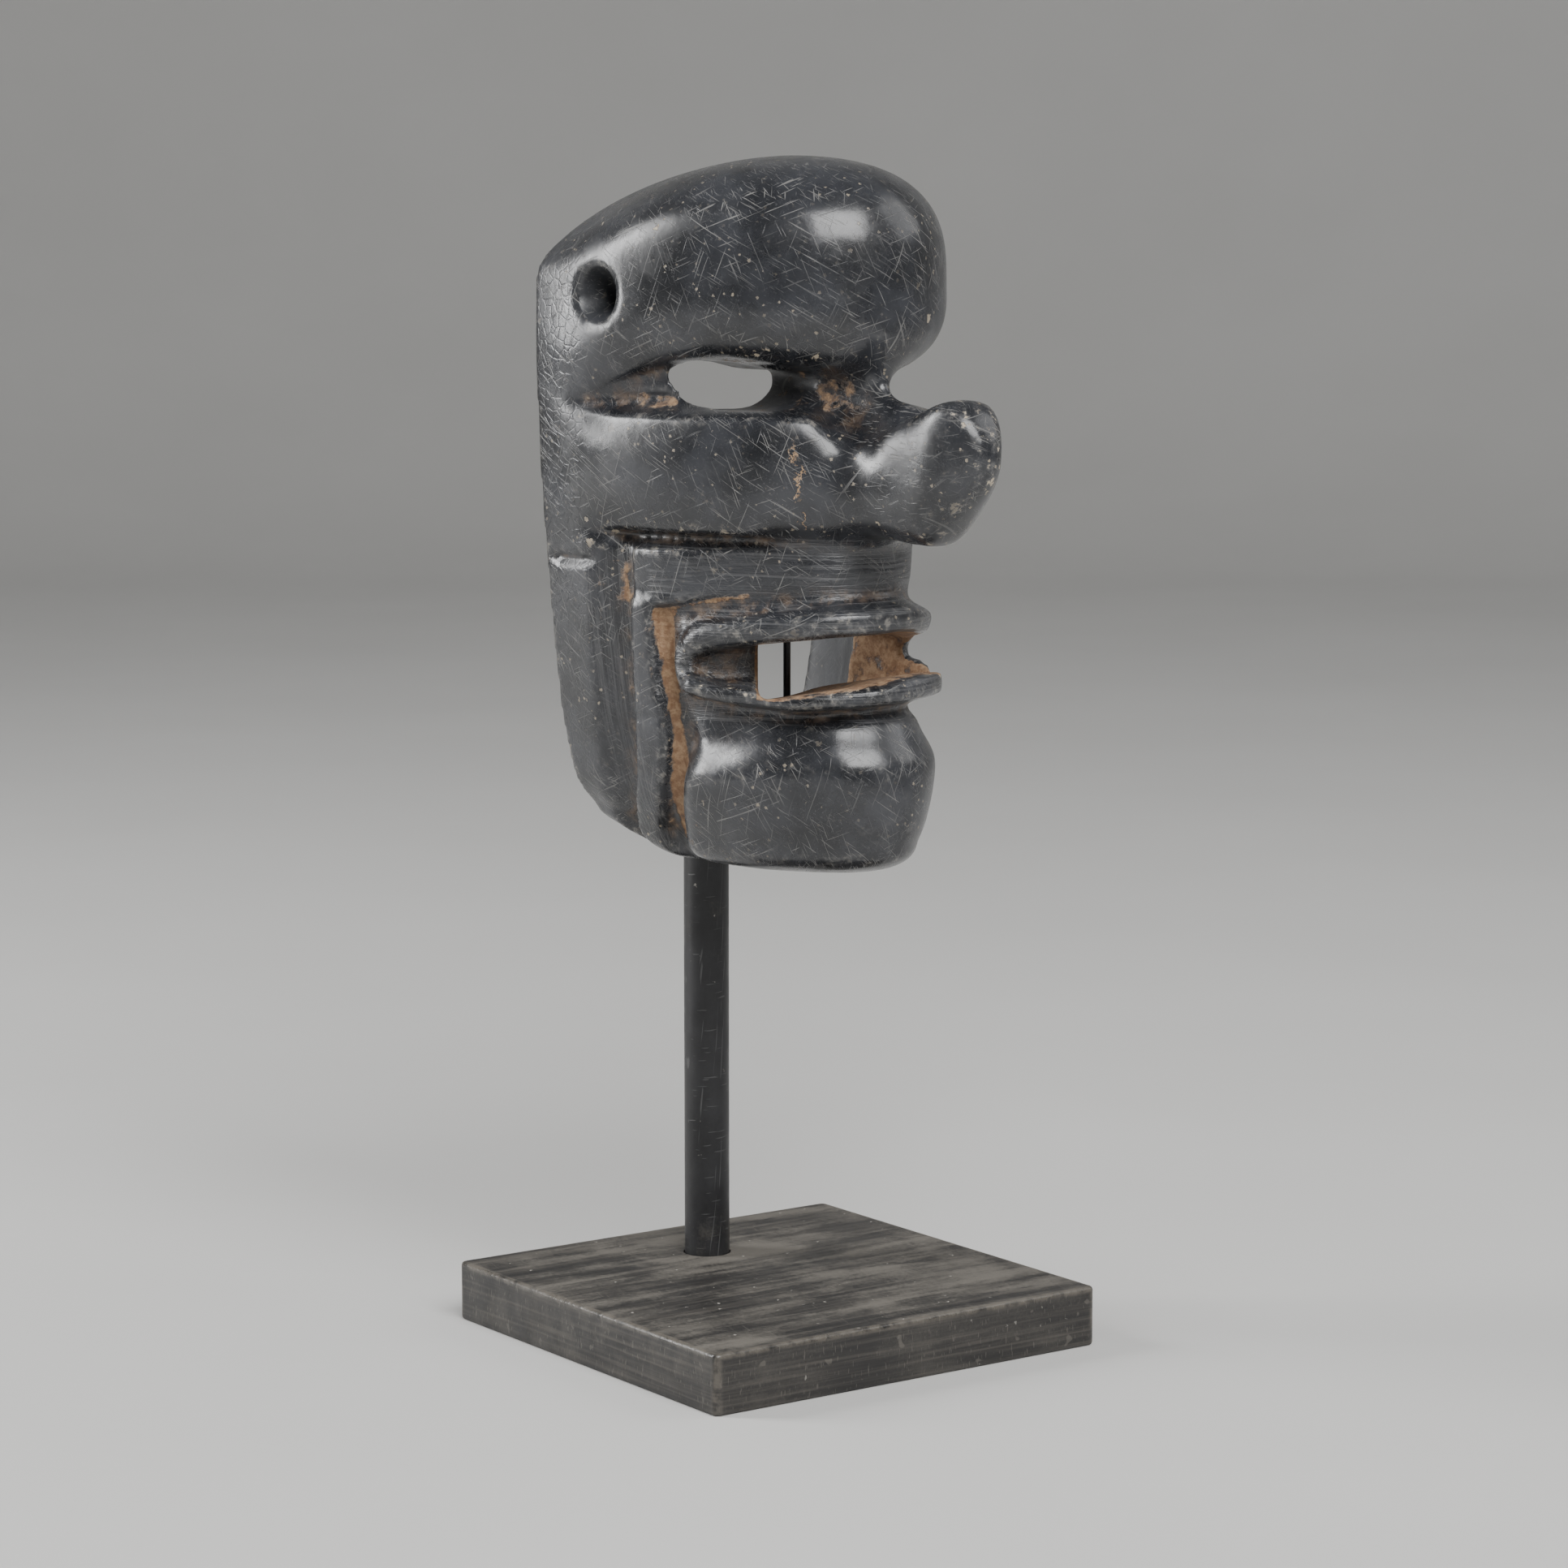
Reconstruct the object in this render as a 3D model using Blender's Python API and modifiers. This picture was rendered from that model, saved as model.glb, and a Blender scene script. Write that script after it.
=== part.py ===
"""A carved black stone mask on its display stand: mask, wooden base, steel post and mounting wire.

Metres, +Z up. The origin is the centre of the base's underside. The mask looks towards -Y.
"""
import math

import bmesh
import bpy
import numpy as np
from mathutils import Matrix, Vector

MM = 0.001

# Stand
BASE_SIDE = 100 * MM
BASE_HEIGHT = 13 * MM
BASE_CORNER_RADIUS = 1.6 * MM
BASE_CHAMFER = 0.8 * MM
POST_DIAMETER = 10 * MM
POST_BEHIND_CENTRE = 25.6 * MM
POST_SOCKET_DEPTH = 9 * MM
POST_TOP_EDGE = 0.6 * MM
POST_BELOW_MASK = 2 * MM
WIRE_DIAMETER = 1.6 * MM
WIRE_IN_POST = 8 * MM
WIRE_BEND_RADIUS = 4 * MM
WIRE_BEHIND_RIM = 1 * MM
WIRE_ABOVE_SILL = 6 * MM
WIRE_SPINE_Y = -5 * MM
TOUCH_GAP = 0.3 * MM
MERGE_DISTANCE = 0.05 * MM

# Mask: its own sizes
MASK_HEIGHT = 150.3 * MM
MASK_UNDERSIDE = 105 * MM
MASK_BACK_Y = 30 * MM
RIM_WALL = 4.8 * MM
CROWN_WALL = 10.5 * MM
SILL_WALL = 9 * MM
HOLLOW_DEPTH = 41 * MM
HOLLOW_SQUARENESS = 0.15
EAR_HOLE_MOUTH = 12.4 * MM
EAR_HOLE_BORE = 6.4 * MM
EAR_HOLE_CONE = 7 * MM
EAR_HOLE_DEG = 73.7
EAR_HOLE_LEVEL = 0.808

# Mask: its plain form, as shares of its height (pairs are height share, value)
HALF_WIDTH = ((0.0, 0.150), (0.04, 0.172), (0.08, 0.198), (0.12, 0.214), (0.21, 0.234), (0.31, 0.246),
              (0.40, 0.254), (0.51, 0.264), (0.61, 0.270), (0.74, 0.274), (0.82, 0.272), (1.0, 0.270))
FRONT_DEPTH = ((0.0, 0.462), (0.06, 0.498), (0.13, 0.505), (0.27, 0.490), (0.38, 0.485), (0.50, 0.494),
               (0.60, 0.495), (0.80, 0.488), (1.0, 0.470))
TYPICAL_HALF_WIDTH = 0.245
TYPICAL_DEPTH = 0.490
CROWN_START = 0.815
CROWN_SIDE_DROP = 0.100
CROWN_FRONT_SHARE = 0.35
CROWN_BACK_DROP = 0.025
CROWN_HALF_WIDTH = 0.27
CROWN_AXIS_Y = -0.20
CHIN_START = 0.045
JAW_LIFT = 0.034

# Nose, as shares of the mask's height (pairs are a place along Y, value)
NOSE_ROOT = -0.40
NOSE_TIP = -0.700
NOSE_ROUND = 0.085
NOSE_TIP_ROWS = 0.36
NOSE_ROOT_ROWS = 0.96
NOSE_RIDGE_SPREAD = 0.055
NOSE_WIDTH = ((-0.70, 0.050), (-0.64, 0.054), (-0.58, 0.059), (-0.53, 0.066), (-0.49, 0.079),
              (-0.465, 0.092), (-0.44, 0.103), (-0.40, 0.112))
NOSE_EDGE = ((-0.70, 0.684), (-0.66, 0.679), (-0.61, 0.662), (-0.55, 0.637), (-0.50, 0.616), (-0.46, 0.600),
             (-0.40, 0.590))
NOSE_RIDGE = ((-0.70, 0.000), (-0.64, -0.006), (-0.585, -0.006), (-0.555, 0.008), (-0.52, 0.040),
              (-0.475, 0.082), (-0.40, 0.108))
NOSE_FOOT = ((-0.70, 0.492), (-0.66, 0.477), (-0.60, 0.471), (-0.46, 0.474), (-0.40, 0.480))

# Carving: places are degrees round from the midline, heights are shares of the mask's height
BROW_EDGE = ((0, 0.695), (13, 0.700), (33, 0.716), (50, 0.726), (61, 0.719), (74, 0.688), (83, 0.650),
             (90, 0.640))
EYE_DEPTH = ((0, 0.040), (3, 0.042), (6, 0.062), (12, 0.092), (22, 0.092), (36, 0.084), (50, 0.070),
             (65, 0.046), (76, 0.020), (84, 0.0), (90, 0.0))
CHEEK_TOP = 0.648
CHEEK_FOOT = 0.480
FRAME_TOP = 0.457
PANEL_EDGE = ((0, 0.4185), (12, 0.4175), (24, 0.4115), (36, 0.4045), (53, 0.391), (64.7, 0.375),
              (90, 0.360))
MOUTH_TOP = ((-56, 0.292), (-54.5, 0.304), (-52, 0.311), (-47, 0.3165), (-33.5, 0.326), (-18.7, 0.333),
             (13.6, 0.338), (35, 0.324), (50, 0.311), (56, 0.292))
MOUTH_FOOT = ((-56, 0.290), (-54.5, 0.279), (-51, 0.2725), (-38, 0.2715), (-31, 0.2700), (-22, 0.2725),
              (-5, 0.278), (6, 0.287), (16, 0.290), (35, 0.290), (50, 0.280), (56, 0.290))
LIP_FOOT = ((-90, 0.250), (-55, 0.2580), (-48, 0.2500), (-38, 0.2450), (-31, 0.2420), (-20, 0.2460),
            (-2, 0.2510), (19, 0.2490), (35, 0.2440), (90, 0.245))
LIP_GROOVE = 0.012
CHIN_TOP = ((0, 0.2175), (20, 0.2155), (33, 0.2120), (44, 0.2040), (56, 0.1940), (62, 0.187),
            (90, 0.187))
BAND_DEG = ((0.0, 85.0), (0.07, 82.6), (0.174, 79.6), (0.233, 79.2), (0.31, 78.6), (0.43, 77.3), (1.0, 77.3))
FRAME_OUTER_DEG = ((0.0, 82.0), (0.058, 78.2), (0.12, 73.9), (0.195, 71.6), (0.25, 70.6), (0.31, 69.9),
                   (0.386, 69.3), (0.46, 68.9), (1.0, 68.9))
FRAME_INNER_DEG = ((0.0, 74.8), (0.024, 73.4), (0.108, 68.2), (0.164, 64.6), (0.211, 63.7), (0.26, 64.3),
                   (0.314, 64.5), (0.363, 64.4), (1.0, 64.4))
CHIN_END_DEG = ((0.0, 69.0), (0.02, 67.9), (0.106, 63.4), (0.1666, 60.6), (0.22, 60.6), (1.0, 60.6))
LIP_END_DEG = 61.6
MOUTH_END_DEG = 55.5
UPPER_LIP_LEVEL = -0.009
LOWER_LIP_LEVEL = 0.008
LIP_END_LEVEL = -0.012
MOUTH_RECESS = 0.075
GROOVE_DEPTH = 0.027
NOTCH_DEPTH = 0.012
NOTCH_LEVEL = 0.4345

# Slots cut through to the hollow, as shares of the mask's height: a place along X, then a height or an end
SLOT_OUTER_END = -0.66
SLOT_LEVEL_AT = -0.48
MOUTH_FLOOR_SLOPE = 0.17
EYE_TOP = ((0.05, 0.703), (0.095, 0.704), (0.11, 0.707), (0.13, 0.714), (0.165, 0.718), (0.180, 0.713),
           (0.187, 0.703))
EYE_FOOT = ((0.05, 0.680), (0.062, 0.666), (0.078, 0.654), (0.10, 0.649), (0.16, 0.649), (0.172, 0.660),
            (0.181, 0.676), (0.187, 0.688))
EYE_ENDS = ((0.050, -0.330), (0.054, -0.14), (0.140, -0.15), (0.187, -0.17))
MOUTH_ENDS = ((-0.200, -0.450), (-0.152, -0.380), (-0.066, -0.253), (-0.040, -0.150), (0.120, -0.150),
              (0.150, -0.186), (0.185, -0.300))

# How finely the forms are divided
COLUMNS = 240
ROWS = 200
BACK_SHARE = 0.14
BOTTOM_ROWS = 0.07
TOP_ROWS = 0.80
OUTSIDE_TRIANGLES = 6450
HOLLOW_COLUMNS = 32
HOLLOW_ROWS = 20
NOSE_COLUMNS = 28
NOSE_ROWS = 34
MOUTH_SECTIONS = 24
EYE_SECTIONS = 14
EAR_HOLE_STEPS = 20


def smooth(value, low, high):
    """0 below low, 1 above high, with an eased rise between; low may be above high."""
    share = np.clip((value - low) / (high - low), 0.0, 1.0)
    return share * share * (3.0 - 2.0 * share)


def along(stops, value, easing=0.015):
    """Read a profile given as (place, value) pairs, eased by a smoothing average."""
    places, values = zip(*stops)
    spread = (places[-1] - places[0]) * easing
    total = sum(np.interp(value + spread * step, places, values) for step in (-1.5, -0.5, 0.5, 1.5))
    return total / 4.0


def arc_share(degrees):
    """Distance round the face from the midline, as a share of the mask's height."""
    steps = np.radians(np.linspace(0.0, 100.0, 201))
    speed = np.hypot(TYPICAL_HALF_WIDTH * np.cos(steps), TYPICAL_DEPTH * np.sin(steps))
    length = np.concatenate([[0.0], np.cumsum((speed[1:] + speed[:-1]) / 2.0 * np.diff(steps))])
    return np.interp(np.radians(degrees), steps, length)


def eye_groove(degrees, height):
    """Depth of the long slit under the brow; beside the nose its lower side opens into a saddle."""
    above = np.clip((along(BROW_EDGE, degrees) + 0.100 - height) / 0.107, 0.0, 1.0)
    under_brow = 1.0 - np.sqrt(1.0 - above ** 2.6)
    saddle = smooth(degrees, 27.0, 12.0)
    over_cheek = smooth(height, CHEEK_TOP - 0.010 - 0.070 * saddle, CHEEK_TOP + 0.020)
    return along(EYE_DEPTH, degrees) * under_brow * over_cheek


def cheek_bar(degrees, height):
    """The broad bar across the cheeks, with a soft valley beside the nose."""
    middle = (CHEEK_TOP + CHEEK_FOOT) / 2.0
    reach = (CHEEK_TOP - CHEEK_FOOT) / 2.0
    inside = np.clip(1.0 - np.abs(height - middle) / (reach * 1.05), 0.0, 1.0)
    rounded = 0.020 * (1.0 - (1.0 - inside) ** 3.2) - 0.020
    near = smooth(height, CHEEK_FOOT - 0.02, CHEEK_FOOT) * smooth(height, CHEEK_TOP + 0.03, CHEEK_TOP)
    valley = 0.006 * np.exp(-((degrees - 27.0) / 6.0) ** 2) * inside ** 0.3
    return (rounded * smooth(degrees, 82.0, 70.0) - valley) * near


def lips(degrees, height, floor):
    """The ring of the lips, and how far each point is from the mouth (0) to the groove (1)."""
    turn = np.abs(degrees)
    top, foot = along(MOUTH_TOP, degrees), along(MOUTH_FOOT, degrees)
    mouth_end = arc_share(MOUTH_END_DEG)
    beside = np.maximum(arc_share(turn) - mouth_end, 0.0) / (arc_share(LIP_END_DEG) - mouth_end)
    over = np.maximum(height - top, 0.0) / (along(PANEL_EDGE, turn) - top)
    lip_foot = along(LIP_FOOT, degrees) - LIP_GROOVE
    under = np.maximum(foot - height, 0.0) / (foot - lip_foot)
    upper = height > (top + foot) / 2.0
    beyond = np.where(upper, over, under)
    ring = np.hypot(beside, beyond)
    sideways = (beside / np.maximum(ring, 1e-6)) ** 2
    upper_roll = (0.80 + 0.20 * smooth(ring, 0.0, 0.36)) * smooth(ring, 0.74, 0.42)
    lower_roll = smooth(ring, 1.0, 0.62)
    end_roll = smooth(ring, 1.0, 0.70)
    roll = np.where(upper, upper_roll, lower_roll) * (1.0 - sideways) + end_roll * sideways
    roll = roll * smooth(ring, 0.0, 0.14)
    level = np.where(upper, UPPER_LIP_LEVEL, LOWER_LIP_LEVEL) * (1.0 - sideways) + LIP_END_LEVEL * sideways
    recess = MOUTH_RECESS * smooth(turn, MOUTH_END_DEG, 36.0) * smooth(ring, 0.08, 0.0)
    return floor + (level - floor) * roll - recess, ring


def lower_face(degrees, height):
    """Rim band, sloping groove, square frame, inner groove, lips and chin."""
    turn = np.abs(degrees)
    below = smooth(height, CHEEK_FOOT + 0.003, CHEEK_FOOT - 0.008)
    front = smooth(turn, 64.0, 40.0)
    outer_deg = along(FRAME_OUTER_DEG, height)
    slope = -GROOVE_DEPTH * smooth(turn, along(BAND_DEG, height) + 1.8, outer_deg + 1.0)
    under_cheek = smooth(turn, 76.0, 70.0) * smooth(height, FRAME_TOP - 0.004, FRAME_TOP + 0.007)
    outside = slope - 0.022 * under_cheek * (0.6 + 0.4 * front)
    stile = -0.006 - 0.028 * front - 0.008 * smooth(height, 0.374, 0.394)
    stile = stile - 0.006 * np.exp(-((height - 0.215) / 0.004) ** 2) * smooth(turn, 60.0, 64.0)
    in_frame = smooth(turn, outer_deg + 0.4, outer_deg - 0.4)
    in_frame = in_frame * smooth(height, FRAME_TOP + 0.004, FRAME_TOP - 0.003)
    surface = outside * (1.0 - in_frame) + stile * in_frame

    edge = along(PANEL_EDGE, turn)
    inner_deg = along(FRAME_INNER_DEG, height)
    inner = smooth(turn, inner_deg + 0.45, inner_deg - 0.45) * smooth(height, edge + 0.004, edge - 0.010)
    floor = -0.030 - 0.014 * front
    surface = surface * (1.0 - inner) + floor * inner

    lip, ring = lips(degrees, height, floor)
    in_lip = smooth(ring, 1.0, 0.97)
    surface = surface * (1.0 - in_lip) + lip * in_lip

    chin_top = along(CHIN_TOP, turn)
    chin_end = along(CHIN_END_DEG, height)
    chin = -0.026 * (1.0 - smooth(height, chin_top + 0.004, chin_top - 0.070)) ** 1.5
    chin = chin + 0.008 * np.exp(-((turn - 46.0) / 11.0) ** 2) * smooth(height, chin_top, chin_top - 0.07)
    chin = chin - 0.014 * smooth(turn, chin_end - 6.0, chin_end + 1.0) ** 2
    lip_low = along(LIP_FOOT, degrees) - LIP_GROOVE
    in_chin = smooth(height, lip_low + 0.003, chin_top - 0.004)
    in_chin = in_chin * smooth(turn, chin_end + 0.9, chin_end - 0.5)
    surface = surface * (1.0 - in_chin) + chin * in_chin
    return surface * below


def carving(degrees, height):
    """Height of the carved surface over the plain form, as a share of the mask's height."""
    turn = np.abs(degrees)
    notch = NOTCH_DEPTH * np.exp(-((height - NOTCH_LEVEL) / 0.0055) ** 2)
    notch = notch * smooth(turn, 76.0, 79.0) * smooth(turn, 90.0, 86.0)
    return cheek_bar(turn, height) + lower_face(degrees, height) - eye_groove(turn, height) - notch


def unit_sphere(columns, rows):
    """A UV sphere primitive with its vertices read as a place around and a place up."""
    mesh = bmesh.new()
    bmesh.ops.create_uvsphere(mesh, u_segments=columns, v_segments=rows, radius=1.0)
    points = np.array([vert.co for vert in mesh.verts])
    around = np.arctan2(points[:, 0], -points[:, 1]) / math.pi
    up = 1.0 - np.arccos(np.clip(points[:, 2], -1.0, 1.0)) / math.pi
    return mesh, around, up


def put(mesh, x, y, z):
    """Move a bmesh's points to places given in shares of the mask's height."""
    for vert, place in zip(mesh.verts, zip(x, y, z)):
        vert.co = place
    bmesh.ops.scale(mesh, vec=(MASK_HEIGHT,) * 3, verts=mesh.verts)
    bmesh.ops.translate(mesh, vec=(0.0, MASK_BACK_Y, MASK_UNDERSIDE), verts=mesh.verts)


def crown_arch(x, front_share):
    """How far the crown has dropped at a place across, as a share of the mask's height."""
    side = np.clip(np.abs(x) / CROWN_HALF_WIDTH, 0.0, 1.0)
    return CROWN_SIDE_DROP * front_share * side ** 1.65


def outer_shell():
    """The mask's outside, carved, with a flat back, as one closed mesh."""
    mesh, around, up = unit_sphere(COLUMNS, ROWS)
    low = np.clip(up / BOTTOM_ROWS, 0.0, 1.0)
    high = np.clip((1.0 - up) / (1.0 - TOP_ROWS), 0.0, 1.0)
    body = np.clip((up - BOTTOM_ROWS) / (TOP_ROWS - BOTTOM_ROWS), 0.0, 1.0)
    height = CHIN_START + body * (CROWN_START - CHIN_START)
    front = np.abs(around) <= 1.0 - BACK_SHARE
    degrees = np.clip(around / (1.0 - BACK_SHARE), -1.0, 1.0) * 90.0
    angle = np.radians(degrees)
    half_width, depth = along(HALF_WIDTH, height), along(FRONT_DEPTH, height)
    normal_x, normal_y = np.sin(angle) / half_width, -np.cos(angle) / depth
    length = np.hypot(normal_x, normal_y)
    relief = carving(degrees, height)
    x = half_width * np.sin(angle) + relief * normal_x / length
    y = -depth * np.cos(angle) + relief * normal_y / length
    across = np.clip((1.0 - np.abs(around)) / BACK_SHARE, 0.0, 1.0)
    x = np.where(front, x, x * across)
    y = np.where(front, y, 0.0)
    is_top, is_bottom = up > TOP_ROWS, up < BOTTOM_ROWS
    scale = np.where(is_top, np.sin(high * math.pi / 2.0) ** 0.90, 1.0)
    scale = np.where(is_bottom, np.sin(low * math.pi / 2.0) ** 0.62, scale)
    squarer = 3.2 + 1.8 * smooth(y, -0.25, 0.0)
    rise = np.power(np.clip(1.0 - scale ** squarer, 0.0, 1.0), 1.0 / squarer)
    drop = np.sqrt(np.clip(1.0 - scale ** 5.0, 0.0, 1.0))
    x = x * scale
    flat_back = 1.0 - (1.0 - scale) ** 2.2
    y = CROWN_AXIS_Y + (y - CROWN_AXIS_Y) * np.where(is_top & (y > CROWN_AXIS_Y), flat_back, scale)
    front_share = CROWN_FRONT_SHARE + (1.0 - CROWN_FRONT_SHARE) * smooth(y, -0.30, 0.0)
    back = np.clip((y + 0.25) / 0.25, 0.0, 1.0)
    crown = 1.0 - crown_arch(x, front_share) - CROWN_BACK_DROP * back ** 1.5
    z = np.where(is_top, CROWN_START + (crown - CROWN_START) * rise, height)
    z = np.where(is_bottom, CHIN_START * (1.0 - drop), z)
    z = z + JAW_LIFT * smooth(y, -0.15, 0.0) * smooth(z, 0.14, 0.0)
    put(mesh, x, y, z)
    return finish(mesh, "mask")


def hollow_ends():
    """Lowest and highest height share of the hollow."""
    return JAW_LIFT + SILL_WALL / MASK_HEIGHT, 1.0 - CROWN_BACK_DROP - CROWN_WALL / MASK_HEIGHT


def hollow_form():
    """The hollow dug into the back, as a cutter that runs past the back face."""
    mesh, around, up = unit_sphere(HOLLOW_COLUMNS, HOLLOW_ROWS)
    low, high = hollow_ends()
    polar = (up - 0.5) * math.pi
    scale = np.clip(np.cos(polar), 0.0, 1.0) ** HOLLOW_SQUARENESS
    height = (low + high) / 2.0 + (high - low) / 2.0 * np.sin(polar)
    half_width = along(HALF_WIDTH, height) - RIM_WALL / MASK_HEIGHT
    angle = np.clip(np.abs(around) / (1.0 - BACK_SHARE), 0.0, 1.0) * math.pi / 2.0
    front = np.abs(around) <= 1.0 - BACK_SHARE
    x = np.sign(around) * half_width * np.sin(angle)
    x = np.where(front, x, x * (1.0 - np.abs(around)) / BACK_SHARE) * scale
    y = np.where(front, -HOLLOW_DEPTH / MASK_HEIGHT * np.cos(angle) * scale, 0.04)
    z = height - crown_arch(x, 1.0) * smooth(height, 0.60, high)
    put(mesh, x, y, z)
    return finish(mesh, "hollow_cutter")


def nose_form():
    """The upturned nose and its bridge, a loft along Y whose sections follow named profiles."""
    mesh = bmesh.new()
    bmesh.ops.create_uvsphere(mesh, u_segments=NOSE_COLUMNS, v_segments=NOSE_ROWS, radius=1.0)
    bmesh.ops.rotate(mesh, verts=mesh.verts, cent=(0, 0, 0), matrix=Matrix.Rotation(math.radians(90), 3, "X"))
    points = np.array([vert.co for vert in mesh.verts])
    ring = np.hypot(points[:, 0], points[:, 2])
    reach = np.arctan2(ring, -points[:, 1]) / math.pi
    near_tip = reach < NOSE_TIP_ROWS
    bend = np.clip(reach / NOSE_TIP_ROWS, 0.0, 1.0) * math.pi / 2.0
    body = np.clip((reach - NOSE_TIP_ROWS) / (NOSE_ROOT_ROWS - NOSE_TIP_ROWS), 0.0, 1.0)
    tip_end = NOSE_TIP + NOSE_ROUND
    y = np.where(near_tip, tip_end - NOSE_ROUND * np.cos(bend), tip_end + (NOSE_ROOT - tip_end) * body)
    grow = np.where(near_tip, np.sin(bend), 1.0)
    grow = np.where(reach > NOSE_ROOT_ROWS, (1.0 - reach) / (1.0 - NOSE_ROOT_ROWS), grow)
    half_width, edge, foot = along(NOSE_WIDTH, y), along(NOSE_EDGE, y), along(NOSE_FOOT, y)
    cos_ring = points[:, 2] / np.maximum(ring, 1e-6)
    sin_ring = points[:, 0] / np.maximum(ring, 1e-6)
    crisp = 2.6 + 1.8 * smooth(y, -0.48, -0.54) * (cos_ring > 0.0)
    x = np.sign(sin_ring) * np.abs(sin_ring) ** (2.0 / crisp) * half_width * grow
    half_height = (edge - foot) / 2.0 * grow
    z = (edge + foot) / 2.0 + np.sign(cos_ring) * np.abs(cos_ring) ** (2.0 / crisp) * half_height
    share = np.clip(1.0 - np.abs(x) / NOSE_RIDGE_SPREAD, 0.0, 1.0)
    z = z + along(NOSE_RIDGE, y) * share ** 1.3 * np.clip(cos_ring, 0.0, 1.0) * grow
    y = y + 0.045 * smooth(z, 0.60, 0.47) * smooth(y, -0.54, -0.68)
    put(mesh, x, y, z)
    return finish(mesh, "nose_joiner")


def slot_form(name, ends, sections, foot_of, top_of, slope):
    """A cutter made of sections across X, from an inner end out past the face, its floor sinking inwards."""
    mesh = bmesh.new()
    edges = []
    for x in np.linspace(ends[0][0], ends[-1][0], sections):
        inner = np.interp(x, *zip(*ends))
        foot, top = foot_of(x), top_of(x)
        sunk = foot - slope * (inner - SLOT_LEVEL_AT)
        corners = ((inner, sunk), (SLOT_LEVEL_AT, foot), (SLOT_OUTER_END, foot), (SLOT_OUTER_END, top),
                   (inner, top))
        ring = [mesh.verts.new((x, y, z)) for y, z in corners]
        edges += [mesh.edges.new(pair) for pair in zip(ring, ring[1:] + ring[:1])]
    bmesh.ops.bridge_loops(mesh, edges=edges)
    bmesh.ops.holes_fill(mesh, edges=mesh.edges, sides=0)
    bmesh.ops.scale(mesh, vec=(MASK_HEIGHT,) * 3, verts=mesh.verts)
    bmesh.ops.translate(mesh, vec=(0.0, MASK_BACK_Y, MASK_UNDERSIDE), verts=mesh.verts)
    return finish(mesh, name)


def eye_form(side):
    """One eye opening, from the bridge's flank to the outer corner, cut straight back into the hollow."""
    ends = [(side * x, y) for x, y in EYE_ENDS][::side]
    return slot_form(f"eye_cutter_{side}", ends, EYE_SECTIONS, lambda x: along(EYE_FOOT, abs(x)),
                     lambda x: along(EYE_TOP, abs(x)), 0.0)


def mouth_form():
    """The mouth opening: a long slant on one side, a short steep wall on the other."""
    half_width = np.interp(MOUTH_FOOT[0][1], *zip(*HALF_WIDTH))

    def turn(x):
        return math.degrees(math.asin(x / half_width))

    return slot_form("mouth_cutter", MOUTH_ENDS, MOUTH_SECTIONS, lambda x: along(MOUTH_FOOT, turn(x)),
                     lambda x: along(MOUTH_TOP, turn(x)), MOUTH_FLOOR_SLOPE)


def ear_hole_form(side):
    """A suspension hole: a straight bore out of the hollow that opens in a rounded flare at the surface."""
    mouth, bore = EAR_HOLE_MOUTH / 2.0, EAR_HOLE_BORE / 2.0
    rise = (mouth - bore) * 0.55
    inner_end, outer_end = -EAR_HOLE_CONE * 2.3, EAR_HOLE_CONE * 0.4
    profile = ((0.0, inner_end), (bore, inner_end), (bore, -EAR_HOLE_CONE), (mouth * 0.93, -EAR_HOLE_CONE * 0.12),
               (mouth + rise, outer_end), (0.0, outer_end))
    mesh = bmesh.new()
    points = [mesh.verts.new((radius, 0.0, z)) for radius, z in profile]
    edges = [mesh.edges.new(pair) for pair in zip(points, points[1:])]
    bmesh.ops.spin(mesh, geom=points + edges, cent=(0, 0, 0), axis=(0, 0, 1), angle=math.tau,
                   steps=EAR_HOLE_STEPS, use_merge=True)
    half_width, depth = along(HALF_WIDTH, EAR_HOLE_LEVEL), along(FRONT_DEPTH, EAR_HOLE_LEVEL)
    across, forward = side * math.sin(math.radians(EAR_HOLE_DEG)), math.cos(math.radians(EAR_HOLE_DEG))
    outward = Vector((across / half_width, -forward / depth, 0.0)).normalized()
    surface = Vector((half_width * across, -depth * forward, EAR_HOLE_LEVEL)) * MASK_HEIGHT
    surface += Vector((0.0, MASK_BACK_Y, MASK_UNDERSIDE))
    mesh.transform(Matrix.Translation(surface) @ outward.to_track_quat("Z", "Y").to_matrix().to_4x4())
    return finish(mesh, f"ear_hole_cutter_{side}")


def finish(mesh, name):
    """Turn a bmesh into a scene object with its faces pointing out."""
    bmesh.ops.remove_doubles(mesh, verts=mesh.verts, dist=1e-6)
    bmesh.ops.dissolve_degenerate(mesh, dist=1e-7, edges=mesh.edges)
    bmesh.ops.recalc_face_normals(mesh, faces=mesh.faces)
    data = bpy.data.meshes.new(name)
    mesh.to_mesh(data)
    mesh.free()
    data.shade_smooth()
    piece = bpy.data.objects.new(name, data)
    bpy.context.scene.collection.objects.link(piece)
    return piece


def move_to(piece, collection):
    for home in list(piece.users_collection):
        home.objects.unlink(piece)
    collection.objects.link(piece)


def as_cutter(piece, cutters):
    move_to(piece, cutters)
    piece.hide_render = True
    piece.display_type = "WIRE"


def add_boolean(piece, other, operation):
    change = piece.modifiers.new(f"{operation.lower()} {other.name}", "BOOLEAN")
    change.operation = operation
    change.solver = "EXACT"
    change.object = other


def paint(piece, name, colour, roughness, metallic):
    """Give an object its own material."""
    material = bpy.data.materials.new(name)
    material.use_nodes = True
    shader = material.node_tree.nodes["Principled BSDF"]
    shader.inputs["Base Color"].default_value = (*colour, 1.0)
    shader.inputs["Roughness"].default_value = roughness
    shader.inputs["Metallic"].default_value = metallic
    piece.data.materials.clear()
    piece.data.materials.append(material)


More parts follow.
